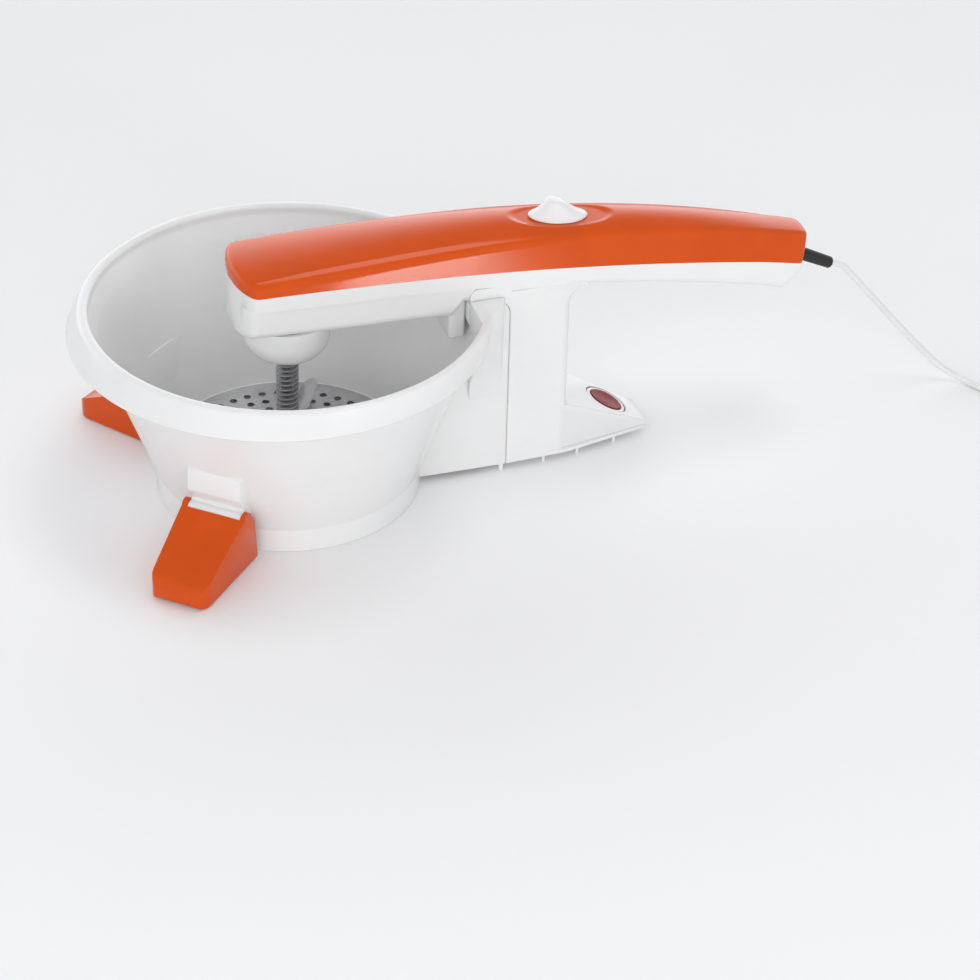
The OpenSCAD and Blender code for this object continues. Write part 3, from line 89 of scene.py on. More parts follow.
# %% Material helpers
class Value:
    """A socket of a material, which adds its Math nodes when it is used in maths"""

    def __init__(self, finish, socket):
        self.finish, self.socket = finish, socket

    def math(self, operation, first, second=0.0):
        return self.finish.node("ShaderNodeMath", {"operation": operation}, {0: first, 1: second})

    def __add__(self, other):
        return self.math("ADD", self, other)

    def __sub__(self, other):
        return self.math("SUBTRACT", self, other)

    def __mul__(self, other):
        return self.math("MULTIPLY", self, other)

    __radd__ = __add__

    def between(self, low, high):
        """0 below low, 1 above high, and smooth between them"""
        return self.finish.node("ShaderNodeMapRange", {"interpolation_type": "SMOOTHSTEP"},
                                {"Value": self, "From Min": low, "From Max": high})


class Finish:
    """A material in the making"""

    def __init__(self, name, colour, roughness, **sockets):
        self.material = bpy.data.materials.new("dressed_" + name)
        self.material.use_nodes = True
        self.tree = self.material.node_tree
        self.shader = self.tree.nodes["Principled BSDF"]
        self.colour = (*colour, 1)
        self.set("Base Color", self.colour)
        self.set("Roughness", roughness)
        for socket, value in sockets.items():
            self.set(socket.replace("_", " "), value)
        self.place = self.node("ShaderNodeTexCoord", out="Object")

    def node(self, kind, settings={}, inputs={}, out=0):
        new = self.tree.nodes.new(kind)
        for key, value in settings.items():
            setattr(new, key, value)
        for key, value in inputs.items():
            self.plug(new.inputs[key], value)
        return Value(self, new.outputs[out])

    def plug(self, socket, value):
        if isinstance(value, Value):
            self.tree.links.new(value.socket, socket)
        else:
            socket.default_value = value

    def set(self, socket, value):
        self.plug(self.shader.inputs[socket], value)

    def noise(self, scale, detail=2.0, stretch=(1, 1, 1)):
        """A cloudy pattern, scale times a metre fine"""
        at = self.node("ShaderNodeMapping", {}, {"Vector": self.place, "Scale": stretch})
        return self.node("ShaderNodeTexNoise", {}, {"Vector": at, "Scale": scale, "Detail": detail})

    def mix(self, share, first, second):
        """A colour between two, by a share from 0 to 1"""
        return self.node("ShaderNodeMix", {"data_type": "RGBA"}, {0: share, 6: first, 7: second}, out=2)

    def shade(self, share, factor):
        """Darkens the base colour by factor where share is 1"""
        dark = tuple(c * factor for c in self.colour[:3]) + (1,)
        self.set("Base Color", self.mix(share, self.colour, dark))

    def bump(self, height, depth_mm, strength=1.0):
        inputs = {"Height": height, "Distance": depth_mm * MM, "Strength": strength}
        self.set("Normal", self.node("ShaderNodeBump", {}, inputs))


# %% [markdown]
# ## Finishes
# The mouldings are glossy plastic. Fresh from the mould such a surface is never quite even: its colour
# clouds a little, its gloss changes over a few millimetres, and long shallow waves bend its reflections.
# Each finish gets these from noise on Object coordinates, at sizes chosen beside the photograph.

# %% Plastics
def moulded(name, colour, roughness, cloud=0.96, wave_mm=0.02, grain_mm=0.004, **sockets):
    """Moulded plastic: clouded colour, uneven gloss, long waves and a fine skin"""
    finish = Finish(name, colour, roughness, **sockets)
    finish.shade(finish.noise(35, 3).between(0.35, 0.7), cloud)
    patches = finish.noise(160, 2)
    finish.set("Roughness", roughness + (patches - 0.5) * 0.06)
    waves = finish.noise(45, 1) * wave_mm + finish.noise(1400, 2) * grain_mm
    finish.bump(waves, 1.0, 0.6)
    return finish.material


white_plastic = moulded("white_plastic", (0.86, 0.86, 0.857), 0.24, cloud=0.985)
orange_plastic = moulded("orange_plastic", (0.69, 0.083, 0.004), 0.14, cloud=0.95, Specular_IOR_Level=0.3)
red_plastic = moulded("red_plastic", (0.26, 0.005, 0.008), 0.36, cloud=0.9, Specular_IOR_Level=0.15)
gear_plastic = moulded("gear_plastic", (0.76, 0.70, 0.58), 0.38, wave_mm=0.01)
black_plastic = moulded("black_plastic", (0.022, 0.022, 0.024), 0.42, grain_mm=0.01)
black_rubber = moulded("black_rubber", (0.016, 0.016, 0.017), 0.55, grain_mm=0.015)
cord_white = moulded("cord_white", (0.82, 0.82, 0.81), 0.38, cloud=0.97, wave_mm=0.01)
plug_white = moulded("plug_white", (0.84, 0.84, 0.83), 0.36, cloud=0.975)
print("plastics made")

# %% [markdown]
# Metal shows how it was made. The sieve and the blades are rolled sheet with a faint straight grain, the
# spring is drawn wire, and the bushes are sintered bronze with tiny pores.

# %% Metals and board
def metal(name, colour, roughness, stretch=(1, 1, 1), line_mm=0.004, stain=0.85):
    """Bare metal with grain lines along one direction and slight stains"""
    finish = Finish(name, colour, roughness, Metallic=1.0)
    lines = finish.noise(900, 3, stretch)
    finish.shade(finish.noise(60, 4).between(0.45, 0.75), stain)
    finish.set("Roughness", roughness + (lines - 0.5) * 0.16)
    finish.bump(lines, line_mm, 0.7)
    return finish.material


steel = metal("steel", (0.62, 0.62, 0.63), 0.26, stretch=(0.05, 1, 1))
spring_steel = metal("spring_steel", (0.40, 0.40, 0.42), 0.34, line_mm=0.006)
bronze = metal("bronze", (0.55, 0.34, 0.17), 0.42, line_mm=0.01)
brass = metal("brass", (0.72, 0.52, 0.22), 0.3)
motor_steel = metal("motor_steel", (0.5, 0.5, 0.5), 0.33, stretch=(1, 1, 0.04))

board_finish = Finish("board", (0.02, 0.16, 0.07), 0.35)
traces = board_finish.node("ShaderNodeTexVoronoi", {"feature": "DISTANCE_TO_EDGE"},
                           {"Vector": board_finish.place, "Scale": 260.0})
TRACE_GREEN = (0.10, 0.42, 0.16, 1)
lacquer = traces.between(0.1, 0.14)
board_finish.set("Base Color", board_finish.mix(lacquer, TRACE_GREEN, board_finish.colour))
board_finish.bump(lacquer, -0.03)
board = board_finish.material
print("metals and board made")

# %% [markdown]
# ## Finishing CAD pieces
# Gears, screws, pins and plates have their right shape already, so they keep it and only get a material.
# A piece that shows gets more. It is drawn anew further down, or its copy is welded and its edges are
# bevelled as a mould leaves them. Its normals are smoothed, so that light runs over it without facets.

# %% Finish the hidden and small CAD nodes
NODE_FINISH = {
    "sieve_disc": steel, "foot_pins": steel, "paddle_blades": steel, "spring_washer": steel,
    "drive_shaft": steel, "drive_pin": steel, "gear_spindles": steel, "gear_plate": motor_steel,
    "plate_screws": steel, "motor_can": motor_steel, "motor_plate": motor_steel, "motor_shaft": steel,
    "motor_screws": steel, "cover_screws": steel, "shell_screws": steel, "button_spring": spring_steel,
    "latch_spring": spring_steel, "pressure_spring": spring_steel, "output_gear": gear_plastic,
    "middle_gear": gear_plastic, "pulley_gear": gear_plastic, "motor_pulley": brass,
    "latch_bar": gear_plastic, "cord_clamp": gear_plastic, "plate_pillars": white_plastic,
    "lower_bush": bronze, "upper_bush": bronze, "drive_belt": black_rubber, "switch_body": black_plastic,
    "circuit_board": board, "plug_pins": brass, "strain_relief": black_rubber,
    "left_foot": orange_plastic, "right_foot": orange_plastic, "top_shell": orange_plastic,
    "release_button": red_plastic, "cord_run": cord_white, "cord_coil": cord_white,
    "cord_end": cord_white, "plug_body": plug_white,
}
for name, node in frame["nodes"].items():
    for material_slot in node.material_slots:
        material_slot.material = NODE_FINISH.get(name, white_plastic)
print("finished CAD nodes:", len(frame["nodes"]))

# %% Modelling helpers
def only(piece):
    """Selects one object and nothing else"""
    bpy.ops.object.select_all(action="DESELECT")
    bpy.context.view_layer.objects.active = piece
    piece.select_set(True)
    return piece


def in_edit(piece, *steps, select="SELECT"):
    """Runs operators on a piece in edit mode, with everything selected"""
    only(piece)
    bpy.ops.object.mode_set(mode="EDIT")
    bpy.ops.mesh.select_all(action=select)
    for step in steps:
        step()
    bpy.ops.object.mode_set(mode="OBJECT")
    return piece


def weld():
    bpy.ops.mesh.select_all(action="SELECT")
    bpy.ops.mesh.remove_doubles(threshold=0.00001)
    bpy.ops.mesh.delete_loose()
    bpy.ops.mesh.select_all(action="SELECT")


def face_out():
    bpy.ops.mesh.select_all(action="SELECT")
    bpy.ops.mesh.normals_make_consistent(inside=False)


def modify(piece, kind, **settings):
    """Adds a modifier and applies it"""
    only(piece)
    modifier = piece.modifiers.new(kind.lower(), kind)
    for key, value in settings.items():
        setattr(modifier, key, value)
    bpy.ops.object.modifier_apply(modifier=modifier.name)
    return piece


def soften(piece, width_mm, segments=2, angle=35):
    """Bevels every edge sharper than angle"""
    return modify(piece, "BEVEL", width=width_mm * MM, segments=segments, limit_method="ANGLE",
                  angle_limit=radians(angle), harden_normals=False, use_clamp_overlap=True)


def smooth(piece, angle=40):
    only(piece)
    bpy.ops.object.shade_smooth_by_angle(angle=radians(angle))
    return piece


def cut(piece, cutter, operation="DIFFERENCE"):
    """Cuts, or joins, one closed mesh with another, which is then deleted"""
    modify(piece, "BOOLEAN", object=cutter, operation=operation, solver="EXACT")
    bpy.data.objects.remove(cutter)
    return piece


def dress(piece, material, body, *nodes, slot=None):
    """Gives a piece its finish, hides the CAD nodes that it takes the place of, and ties it to the body it
    moves with
    """
    piece.data.materials.clear()
    piece.data.materials.append(material)
    if nodes:
        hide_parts(*nodes)
    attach(piece, body)
    print(piece.name, "has", len(piece.data.vertices), "vertices")
    return piece


def outline(name, points, fill="NOTHING"):
    """A ring of points, in millimetres"""
    bpy.ops.object.select_all(action="DESELECT")
    bpy.ops.mesh.primitive_circle_add(vertices=len(points), fill_type=fill)
    piece = bpy.context.object
    piece.name = name
    for vertex, point in zip(piece.data.vertices, points):
        vertex.co = Vector(point) * MM
    return piece


def turned(name, profile, steps):
    """A closed profile of (radius, height) spun round the Z axis"""
    piece = outline(name, [(r, 0, z) for r, z in profile])

    def spin():
        bpy.ops.mesh.spin(steps=steps, angle=2 * pi, center=(0, 0, 0), axis=(0, 0, 1))

    return in_edit(piece, spin, weld, face_out)


def slab(name, points, y0, y1):
    """A side profile of (x, z) pulled from y0 to y1"""
    piece = outline(name, [(x, y0, z) for x, z in points], fill="NGON")
    pull = {"value": (0, (y1 - y0) * MM, 0)}
    return in_edit(piece, lambda: bpy.ops.mesh.extrude_region_move(TRANSFORM_OT_translate=pull), face_out)


def lofted(name, rings, closed=True, capped=True):
    """A skin through rings of points with the same count"""
    across = len(rings[0]) + (1 if closed else 0)
    bpy.ops.object.select_all(action="DESELECT")
    bpy.ops.mesh.primitive_grid_add(x_subdivisions=across - 1, y_subdivisions=len(rings) - 1)
    piece = bpy.context.object
    piece.name = name
    for i, ring in enumerate(rings):
        for j in range(across):
            piece.data.vertices[i * across + j].co = Vector(ring[j % len(ring)]) * MM
    in_edit(piece, weld)
    if capped:
        in_edit(piece, bpy.ops.mesh.select_non_manifold, bpy.ops.mesh.edge_face_add, select="DESELECT")
    return in_edit(piece, face_out)


def welded_copy(node, name, bevel_mm, angle=40):
    """A CAD node's own shape, with its edges softened"""
    source = frame["nodes"][node]
    piece = bpy.data.objects.new(name, source.data.copy())
    bpy.context.scene.collection.objects.link(piece)
    in_edit(piece, weld, lambda: bpy.ops.mesh.dissolve_limited(angle_limit=radians(1.5)))
    soften(piece, bevel_mm, 2, angle)
    return smooth(piece, angle)


# %% [markdown]
# ## Outlines with rounded corners
# Hardly any edge of a moulding is sharp, because plastic flows badly into a sharp corner of the mould. So
# outlines are given as corners with a radius, and one helper rounds each of them with a short arc.

# %% Rounded outlines
def filleted(corners, steps=6):
    """A closed outline of (a, b, radius) with every corner rounded by its radius"""
    ring = []
    for i, (a, b, radius) in enumerate(corners):
        here = Vector((a, b))
        if not radius:
            ring.append((a, b))
            continue
        back = (Vector(corners[i - 1][:2]) - here).normalized()
        ahead = (Vector(corners[(i + 1) % len(corners)][:2]) - here).normalized()
        half = back.angle(ahead) / 2
        centre = here + (back + ahead).normalized() * radius / sin(half)
        start, end = (here + way * radius / tan(half) - centre for way in (back, ahead))
        sweep = start.angle(end)
        for k in range(steps + 1):
            t = k / steps * sweep
            at = centre + (start * sin(sweep - t) + end * sin(t)) / sin(sweep)
            ring.append((at.x, at.y))
    return ring


def turn(piece, matrix):
    """Moves a mesh by a matrix in millimetres; its object stays at the origin"""
    scale = Matrix.Scale(1 / MM, 4)
    piece.data.transform(scale.inverted() @ matrix @ scale)
    return piece


def box(name, low, high, round_mm=0.0):
    (x0, y0, z0), (x1, y1, z1) = low, high
    piece = slab(name, [(x0, z0), (x1, z0), (x1, z1), (x0, z1)], y0, y1)
    return soften(piece, round_mm, 3) if round_mm else piece


def join(first, *others):
    """One object of several closed shells"""
    only(first)
    for other in others:
        other.select_set(True)
    bpy.ops.object.join()
    return first


# %% [markdown]
# ## Bowl
# The bowl is one moulding: a cone on a foot ring, with a broad rim whose skirt hangs down outside. Such a
# form is turned: half its section is drawn as a closed outline and spun round the axis. The skirt isn't
# quite centred on the cone, so its lower edge is moved a little forward afterwards.

# %% Bowl
CONE_SLOPE = 30 / 82
RIM_TOP = 114
RIM_LEAN = 4.5  # how far the skirt's lower edge stands forward
BRACKET_TOP = 111
WAY_HW = 26.4


def cone_r(z):
    return 75 + (z - 17) * CONE_SLOPE


bowl_section = filleted([
    (63, 14.4, 0.3), (63, 17, 0.3), (72.6, 17, 0.6), (74.2, 21.5, 6), (102.4, 99, 10), (107.1, 109, 6),
    (107.3, RIM_TOP, 2.2), (112.6, RIM_TOP, 2.4), (115.6, 98.9, 1), (113, 98.9, 0.9), (110.6, 110.6, 1.2),
    (109.6, 109, 1), (105.1, 99, 8), (75.2, 17.6, 1.4), (73.8, 14, 2), (73.8, 0, 0.8), (71.2, 0, 0.8),
    (71.2, 9.4, 0.5)])
bowl = turned("bowl_moulding", bowl_section, steps=224)
for vertex in bowl.data.vertices:
    radius = hypot(vertex.co.x, vertex.co.y) / MM
    if radius > 109.9 and vertex.co.z / MM < 113.9:
        vertex.co.x -= RIM_LEAN * (RIM_TOP - vertex.co.z / MM) / 15 * MM
cut(bowl, box("way_of_the_arm", (81.5, -WAY_HW, BRACKET_TOP), (125, WAY_HW, BRACKET_TOP + 9)))
print("bowl turned:", len(bowl.data.polygons), "faces")

# %% Bracket behind the bowl
BRACKET_X0, BRACKET_X1 = 96.1, 119.45
BRACKET_HW, BRACKET_WALL = 26, 2.6
BRACKET_LOW = 3.6
CONE_TOP = 99
CORE_HW = BRACKET_HW - BRACKET_WALL
INSIDE_TOP = CONE_TOP + 0.02  # a little above the step, so that no thin sheet is left over it
bracket_side = filleted([(62, BRACKET_LOW, 0), (BRACKET_X1, BRACKET_LOW, 0.6), (BRACKET_X1, BRACKET_TOP, 8),
                         (BRACKET_X0, BRACKET_TOP, 0.8), (BRACKET_X0, CONE_TOP, 0), (62, CONE_TOP, 0)])
bracket = slab("bracket_moulding", bracket_side, -BRACKET_HW, BRACKET_HW)
cut(bracket, box("bracket_hollow", (60, -CORE_HW, 1), (98, CORE_HW, CONE_TOP - BRACKET_WALL)))
cut(bracket, box("bracket_core", (97, -CORE_HW, 1), (108.7, CORE_HW, BRACKET_TOP - BRACKET_WALL)))
cut(bracket, box("rail_head_slot", (111.7, -10.4, 1), (116.7, 10.4, 115)))
cut(bracket, box("rail_neck_slot", (116, -5.4, 1), (122, 5.4, 115)))
inside = [(0, -2), (71, -2), (72.4, 16), (cone_r(20) - 1.3, 20), (103.7, INSIDE_TOP), (0, INSIDE_TOP)]
cut(bracket, turned("bowl_inside", inside, steps=96))
rib = box("bracket_rib", (115.7, -BRACKET_HW, 0), (118.2, BRACKET_HW, BRACKET_LOW + 0.6), 0.3)
soften(bracket, 0.5, 2, 50)
bracket = join(bracket, rib)

# %% [markdown]
# A lug is a round knuckle under a face. The notch between them lets the foot's upper edge swing past when
# the foot is folded up.

# %% Lugs of the feet
FOOT_TURN = radians(130.5)
HINGE_R, HINGE_Z = 88, 30
KNUCKLE_R = 3.75
LUG_HW, LUG_TOP = 15.7, 56


def round_hinge(radius, angles):
    """Points of an arc round the hinge's axis, seen from the side"""
    return [(HINGE_R + radius * cos(radians(a)), HINGE_Z + radius * sin(radians(a)), 0) for a in angles]


knuckle = round_hinge(KNUCKLE_R, range(-90, 106, 15))
lug_side = filleted([(76.5, HINGE_Z - KNUCKLE_R, 0), *knuckle, (85.5, 34.7, 0.3), (86.8, 36.5, 0.5),
                     (89.6, 40.6, 1), (90.3, 42.5, 2), (90, LUG_TOP, 3), (85.4, LUG_TOP, 0)], 5)
lugs = []
for side in (1, -1):
    lug = soften(slab("lug", lug_side, -LUG_HW, LUG_HW), 1.3, 3, 50)
    lugs.append(turn(lug, Matrix.Rotation(side * FOOT_TURN, 4, "Z")))

# %% [markdown]
# In the photograph the rim runs into the bracket without an edge. A cheek on each side fills the corner
# between them. It grows out of the bracket's flank halfway up and has its full width under the rim.

# %% Cheeks
CHEEK_HW = 26.2
CHEEK_TOP = RIM_TOP + 0.15
CHEEK_PLAN = [(96.1, 26.4), (96.1, 49.5), (100, 45), (106, 40), (112, 33.5), (116.5, 26.4)]
CHEEK_SHARES = [(50, 0), (62, 0.12), (80, 0.6), (96, 1), (CHEEK_TOP, 1)]
cheeks = []
for side in (1, -1):
    rings = [[(x, side * (CHEEK_HW + (y - CHEEK_HW) * share), z) for x, y in CHEEK_PLAN]
             for z, share in CHEEK_SHARES]
    cheeks.append(soften(lofted("bracket_cheek", rings), 1.2, 3, 25))
bowl = smooth(join(bowl, bracket, *lugs, *cheeks), 32)
dress(bowl, white_plastic, "bowl_body", "bowl", "guide_strips")

# %% [markdown]
# ## Folding feet
# Each foot is a hollow wedge of orange plastic with two ears round the lug. The side view is pulled to the
# foot's width, the tip is narrowed and rounded in plan, the room for the lug is cut out, and the edges get
# the soft bevel that catches the light in the photograph.

# %% Feet
FOOT_HW, FOOT_TIP_HW, FOOT_TIP_R = 19, 16.5, 137.5
FOOT_EDGE = (91.85, 32.2)
FOOT_WALL = 3


def foot(name, side):
    ear = round_hinge(4.6, range(55, 171, 23))
    wedge = filleted([(77.5, 1, 1), (FOOT_TIP_R - 2, 1, 2.5), (FOOT_TIP_R, 8, 3.5), (132.5, 13.4, 9),
                      (*FOOT_EDGE, 0), *ear, (80.5, 25.4, 1)])
    piece = slab(name, wedge, -FOOT_HW, FOOT_HW)
    for vertex in piece.data.vertices:
        share = max(0, (vertex.co.x / MM - HINGE_R) / (FOOT_TIP_R - HINGE_R))
        vertex.co.y *= 1 - share * (1 - FOOT_TIP_HW / FOOT_HW)
    cut(piece, box("lug_room", (70, -LUG_HW - 0.3, 12), (FOOT_EDGE[0], LUG_HW + 0.3, LUG_TOP + 4)))
    hollow_r0, hollow_r1 = FOOT_EDGE[0] + FOOT_WALL, FOOT_TIP_R - FOOT_WALL
    hollow = [(80.5, 0), (hollow_r1, 0), (hollow_r1, 6.5), (hollow_r0, 26), (hollow_r0, 12), (80.5, 12)]
    cut(piece, slab("foot_hollow", hollow, -13.5, 13.5))
    tip_hw = FOOT_TIP_HW - 0.1
    plan = filleted([(60, -20, 0), (HINGE_R, -19.2, 0), (FOOT_TIP_R, -tip_hw, 9), (FOOT_TIP_R, tip_hw, 9),
                     (HINGE_R, 19.2, 0), (60, 20, 0)])
    cut(piece, lofted("foot_plan", [[(x, y, z) for x, y in plan] for z in (-1, 60)]), "INTERSECT")
    soften(piece, 1.3, 4, 40)
    turn(piece, Matrix.Rotation(side * FOOT_TURN, 4, "Z"))
    smooth(piece, 35)
    return dress(piece, orange_plastic, name + "_body", name)


foot("left_foot", 1).name = "left_foot_wedge"
foot("right_foot", -1).name = "right_foot_wedge"

# %% [markdown]
# ## The arm's lines
# The arm is drawn by a few long arcs: its back, the joint between the shells, and the grip's underside. The
# same functions give every section of both shells, so the two meet exactly along the joint.

# %% Lines of the arm
NOSE_X, TAIL_X = -31.8, 302
TAIL_END = TAIL_X - 3
NOSE_HW, TAIL_HW = 29, 20
NOSE_ROLL, TAIL_ROLL = 7.5, 16  # the length over which the skin rolls over to each end
NOSE_POWER, TAIL_POWER = 4.5, 12  # how square that roll is: 2 would be an ellipse
NOSE_ROUND, TAIL_ROUND, ROUND_L = 6.5, 4.5, 30
TAPER_X = 30
COLUMN_BACK = 156.5
LIP_H, RECESS, CORNER_R = 9, 3.5, 6
CREST_X, ARM_TOP = 100, 148.8
FRONT_BEND_R, BACK_BEND_R, SPLIT_BEND_R, HANDLE_BEND_R = 1577, 633, 1667, 1060


def bend(x, x0, top, radius):
    return top - radius + sqrt(radius ** 2 - (x - x0) ** 2)


def back_z(x):
    return bend(x, CREST_X, ARM_TOP, FRONT_BEND_R if x < CREST_X else BACK_BEND_R)


def split_z(x):
    return bend(x, -23, 135.2, SPLIT_BEND_R)


def handle_z(x):
    return bend(x, 10, 124.2, HANDLE_BEND_R)


def case_z(x):
    return 107 - (x - NOSE_X) * 0.032


def arm_hw(x):
    s = max(0, (x - TAPER_X) / (TAIL_X - TAPER_X))
    return NOSE_HW - (NOSE_HW - TAIL_HW) * (0.75 * s + 0.25 * s * s)


def plan_x(x, share):
    """The nose and the tail are rounded in plan: x at a share of the half width"""
    nose, tail = (max(0, 1 - away / ROUND_L) for away in (x - NOSE_X, TAIL_X - x))
    return x + share ** 2 * (NOSE_ROUND * nose - TAIL_ROUND * tail)


def span(start, end, step):
    count = max(1, round(abs(end - start) / step))
    return [start + (end - start) * i / count for i in range(count)]


def end_shares(x, reach, power, steps=12):
    """(x, share) from an end of the arm inwards, where its skin rolls over to full size"""
    turns = [radians(90) * i / steps for i in range(steps)]
    return [(x + reach * (1 - cos(t) ** (2 / power)), sin(t) ** (2 / power)) for t in turns]


# %% [markdown]
# ## Orange shell
# Seen along the arm, the cover has flanks that lean in, a crest on each side and a gently domed top. The
# crests are soft at the nose and crisp at the tail. Rings of points are set along the arm, evenly spaced
# round each ring, and pressed in where the dish for the thumb is. A grid is laid over them, the slot for the
# knob's stem is taken out of it, and then the sheet gets its thickness.

# %% Orange shell
ACROSS = 120
SWITCH_X = 156
SWITCH_TILT = asin((SWITCH_X - CREST_X) / BACK_BEND_R)
DISH_L, DISH_HW, DISH_DEPTH = 31, 13.8, 2


def even(points, count):
    """The same line with evenly spaced points"""
    points = [Vector(p) for p in points]
    run = [0.0]
    for a, b in zip(points, points[1:]):
        run.append(run[-1] + (b - a).length)
    ring, i = [], 0
    for k in range(count + 1):
        want = run[-1] * k / count
        while i < len(points) - 2 and run[i + 1] < want:
            i += 1
        ring.append(points[i].lerp(points[i + 1], (want - run[i]) / max(run[i + 1] - run[i], 1e-9)))
    return ring


def crown_ring(x, share, lean=0.0):
    """Flanks that lean in up to a soft crest on each side, and a gently domed top between the crests"""
    share = max(share, 0.001)
    s = max(0, (x - NOSE_X) / (TAIL_X - NOSE_X))
    w, h = arm_hw(x) * share, (back_z(x) - split_z(x)) * share
    rise = 0.25 * h * (1 - s ** 4)
    crest = Vector((w - (3.3 + 8.5 * s ** 2.2) * share, h - rise))
    soft = min(0.6 * crest.y, (6 - 4.2 * s) * share)
    flank = crest + (Vector((w, 0)) - crest).normalized() * soft
    flat_y = crest.x - soft
    flat = Vector((flat_y, h - rise * (flat_y / crest.x) ** 2))
    half = [Vector((w, 0)).lerp(flank, k / 30) for k in range(30)]
    half += [flank.lerp(crest, k / 30).lerp(crest.lerp(flat, k / 30), k / 30) for k in range(30)]
    tops = [flat_y * k / 40 for k in range(40, 0, -1)]
    half += [Vector((y, h - rise * (y / crest.x) ** 2)) for y in tops]
    around = half + [Vector((0, h))] + [Vector((-p.x, p.y)) for p in reversed(half)]
    return even([(plan_x(x, p.x / arm_hw(x)) + lean * p.y, p.x, split_z(x) + p.y) for p in around], ACROSS)


def in_dish(point):
    """Presses the switch's dish into the shell: an oval with a flat floor"""
    reach = hypot((point.x - SWITCH_X) / DISH_L, point.y / DISH_HW)
    press = min(max((1.02 - reach) / 0.2, 0), 1)
    press = press * press * (3 - 2 * press)
    floor_at = back_z(SWITCH_X) - DISH_DEPTH - (point.x - SWITCH_X) * tan(SWITCH_TILT)
    return Vector((point.x, point.y, point.z + (min(floor_at, point.z) - point.z) * press))


TAIL_LEAN = 0.3
nose_rings = [crown_ring(x, share) for x, share in end_shares(NOSE_X, NOSE_ROLL, NOSE_POWER)]
body_stations = span(NOSE_X + NOSE_ROLL, 122, 2.5) + span(122, 190, 0.9)  # finer round the dish
body_stations += span(190, TAIL_END - TAIL_ROLL, 2.5)
body_rings = [crown_ring(x, 1) for x in body_stations]
tail_rings = [crown_ring(x, share, TAIL_LEAN * (TAIL_ROLL - TAIL_END + x) / TAIL_ROLL)
              for x, share in reversed(end_shares(TAIL_END, -TAIL_ROLL, TAIL_POWER, 16))]
shell = lofted("orange_shell", [[in_dish(p) for p in ring] for ring in nose_rings + body_rings + tail_rings],
               closed=False, capped=False)


def drop_slot():
    bpy.ops.object.mode_set(mode="OBJECT")
    for polygon in shell.data.polygons:
        at = polygon.center / MM
        polygon.select = abs(at.x - SWITCH_X) < 10.5 and abs(at.y) < 3.3 and at.z > 140
    bpy.ops.object.mode_set(mode="EDIT")
    bpy.ops.mesh.delete(type="FACE")


in_edit(shell, drop_slot, select="DESELECT")
modify(shell, "SOLIDIFY", thickness=2.2 * MM, offset=-1, use_even_offset=True, use_rim=True)
smooth(shell, 50)
dress(shell, orange_plastic, "motor_unit", "top_shell")

# %% [markdown]
# ## White housing
# Under the joint line the housing stands flush with the orange shell for a short lip, and then steps in. It
# holds the gears in front, straddles the bracket with a hook and its column, and ends in the grip. The case
# is laid over rings, the column is a stack of rounded outlines that flares into the grip, the heel is a
# leaning wedge, and the three are joined.

# %% Case and grip
SADDLE_Z = 111.3
STEP_L = 96.5
GRIP_END = TAIL_X - TAIL_ROLL


def grip_z(x):
    s = max(0, (x - GRIP_END) / (TAIL_END - GRIP_END))
    return handle_z(x) + (split_z(x) - 1.5 - handle_z(x)) * min(1, s) ** 1.25


def case_step(x):
    return RECESS * min(1, max(0, (COLUMN_BACK - x) / STEP_L))


def case_ring(x, share, low):
    full, step = arm_hw(x), case_step(x)
    w, wl = full * share, full * share - step
    top = split_z(x) - 0.15
    lip = split_z(x) - min(LIP_H, (split_z(x) - low) * 0.6)
    r = min(CORNER_R, wl / 2, (lip - low) * 0.9)
    half = [(w, top), (w, lip), (wl, min(lip - 0.4 * step / RECESS, lip - 0.05))]
    half += [(wl - r + r * cos(radians(9 * k)), low + r - r * sin(radians(9 * k))) for k in range(11)]
    ring = [(plan_x(x, y / full), y, z) for y, z in half]
    return ring + [(x, -y, z) for x, y, z in reversed(ring)]


stations = [(x, max(share, 0.5), case_z(x)) for x, share in end_shares(NOSE_X, NOSE_ROLL, NOSE_POWER)[3:]]
stations += [(x, 1, case_z(x)) for x in span(NOSE_X + NOSE_ROLL, 87, 4) + [87]]
stations += [(x, 1, SADDLE_Z) for x in span(93.1, 155.5, 4)]
stations += [(x, 1, handle_z(x)) for x in span(156, GRIP_END, 4)]
for part in (0, 0.2, 0.38, 0.54, 0.68, 0.8, 0.9, 0.97, 1):
    x = GRIP_END + (TAIL_END - GRIP_END) * part
    stations.append((x, 1, grip_z(x)))
case = lofted("white_housing", [case_ring(*station) for station in stations])

# %% Column and heel
WALL_Z = 5.6
COLUMN_X0 = 120
FLARE_R = 12
HEEL_X0, HEEL_X1 = 157, 209
HEEL_Z0, HEEL_Z1 = 35, 8
HEEL_HW, HEEL_TIP_HW = 24, 12
BUTTON_X = 188
flare_top = handle_z(COLUMN_BACK + FLARE_R)


def column_ring(z):
    drop = min(max(z - flare_top + FLARE_R, 0), FLARE_R)
    back = COLUMN_BACK + FLARE_R - sqrt(FLARE_R ** 2 - drop ** 2)
    plan = filleted([(COLUMN_X0, BRACKET_HW, 0.6), (back, HEEL_HW, 6), (back, -HEEL_HW, 6),
                     (COLUMN_X0, -BRACKET_HW, 0.6)])
    return [(x, y, z) for x, y in plan]


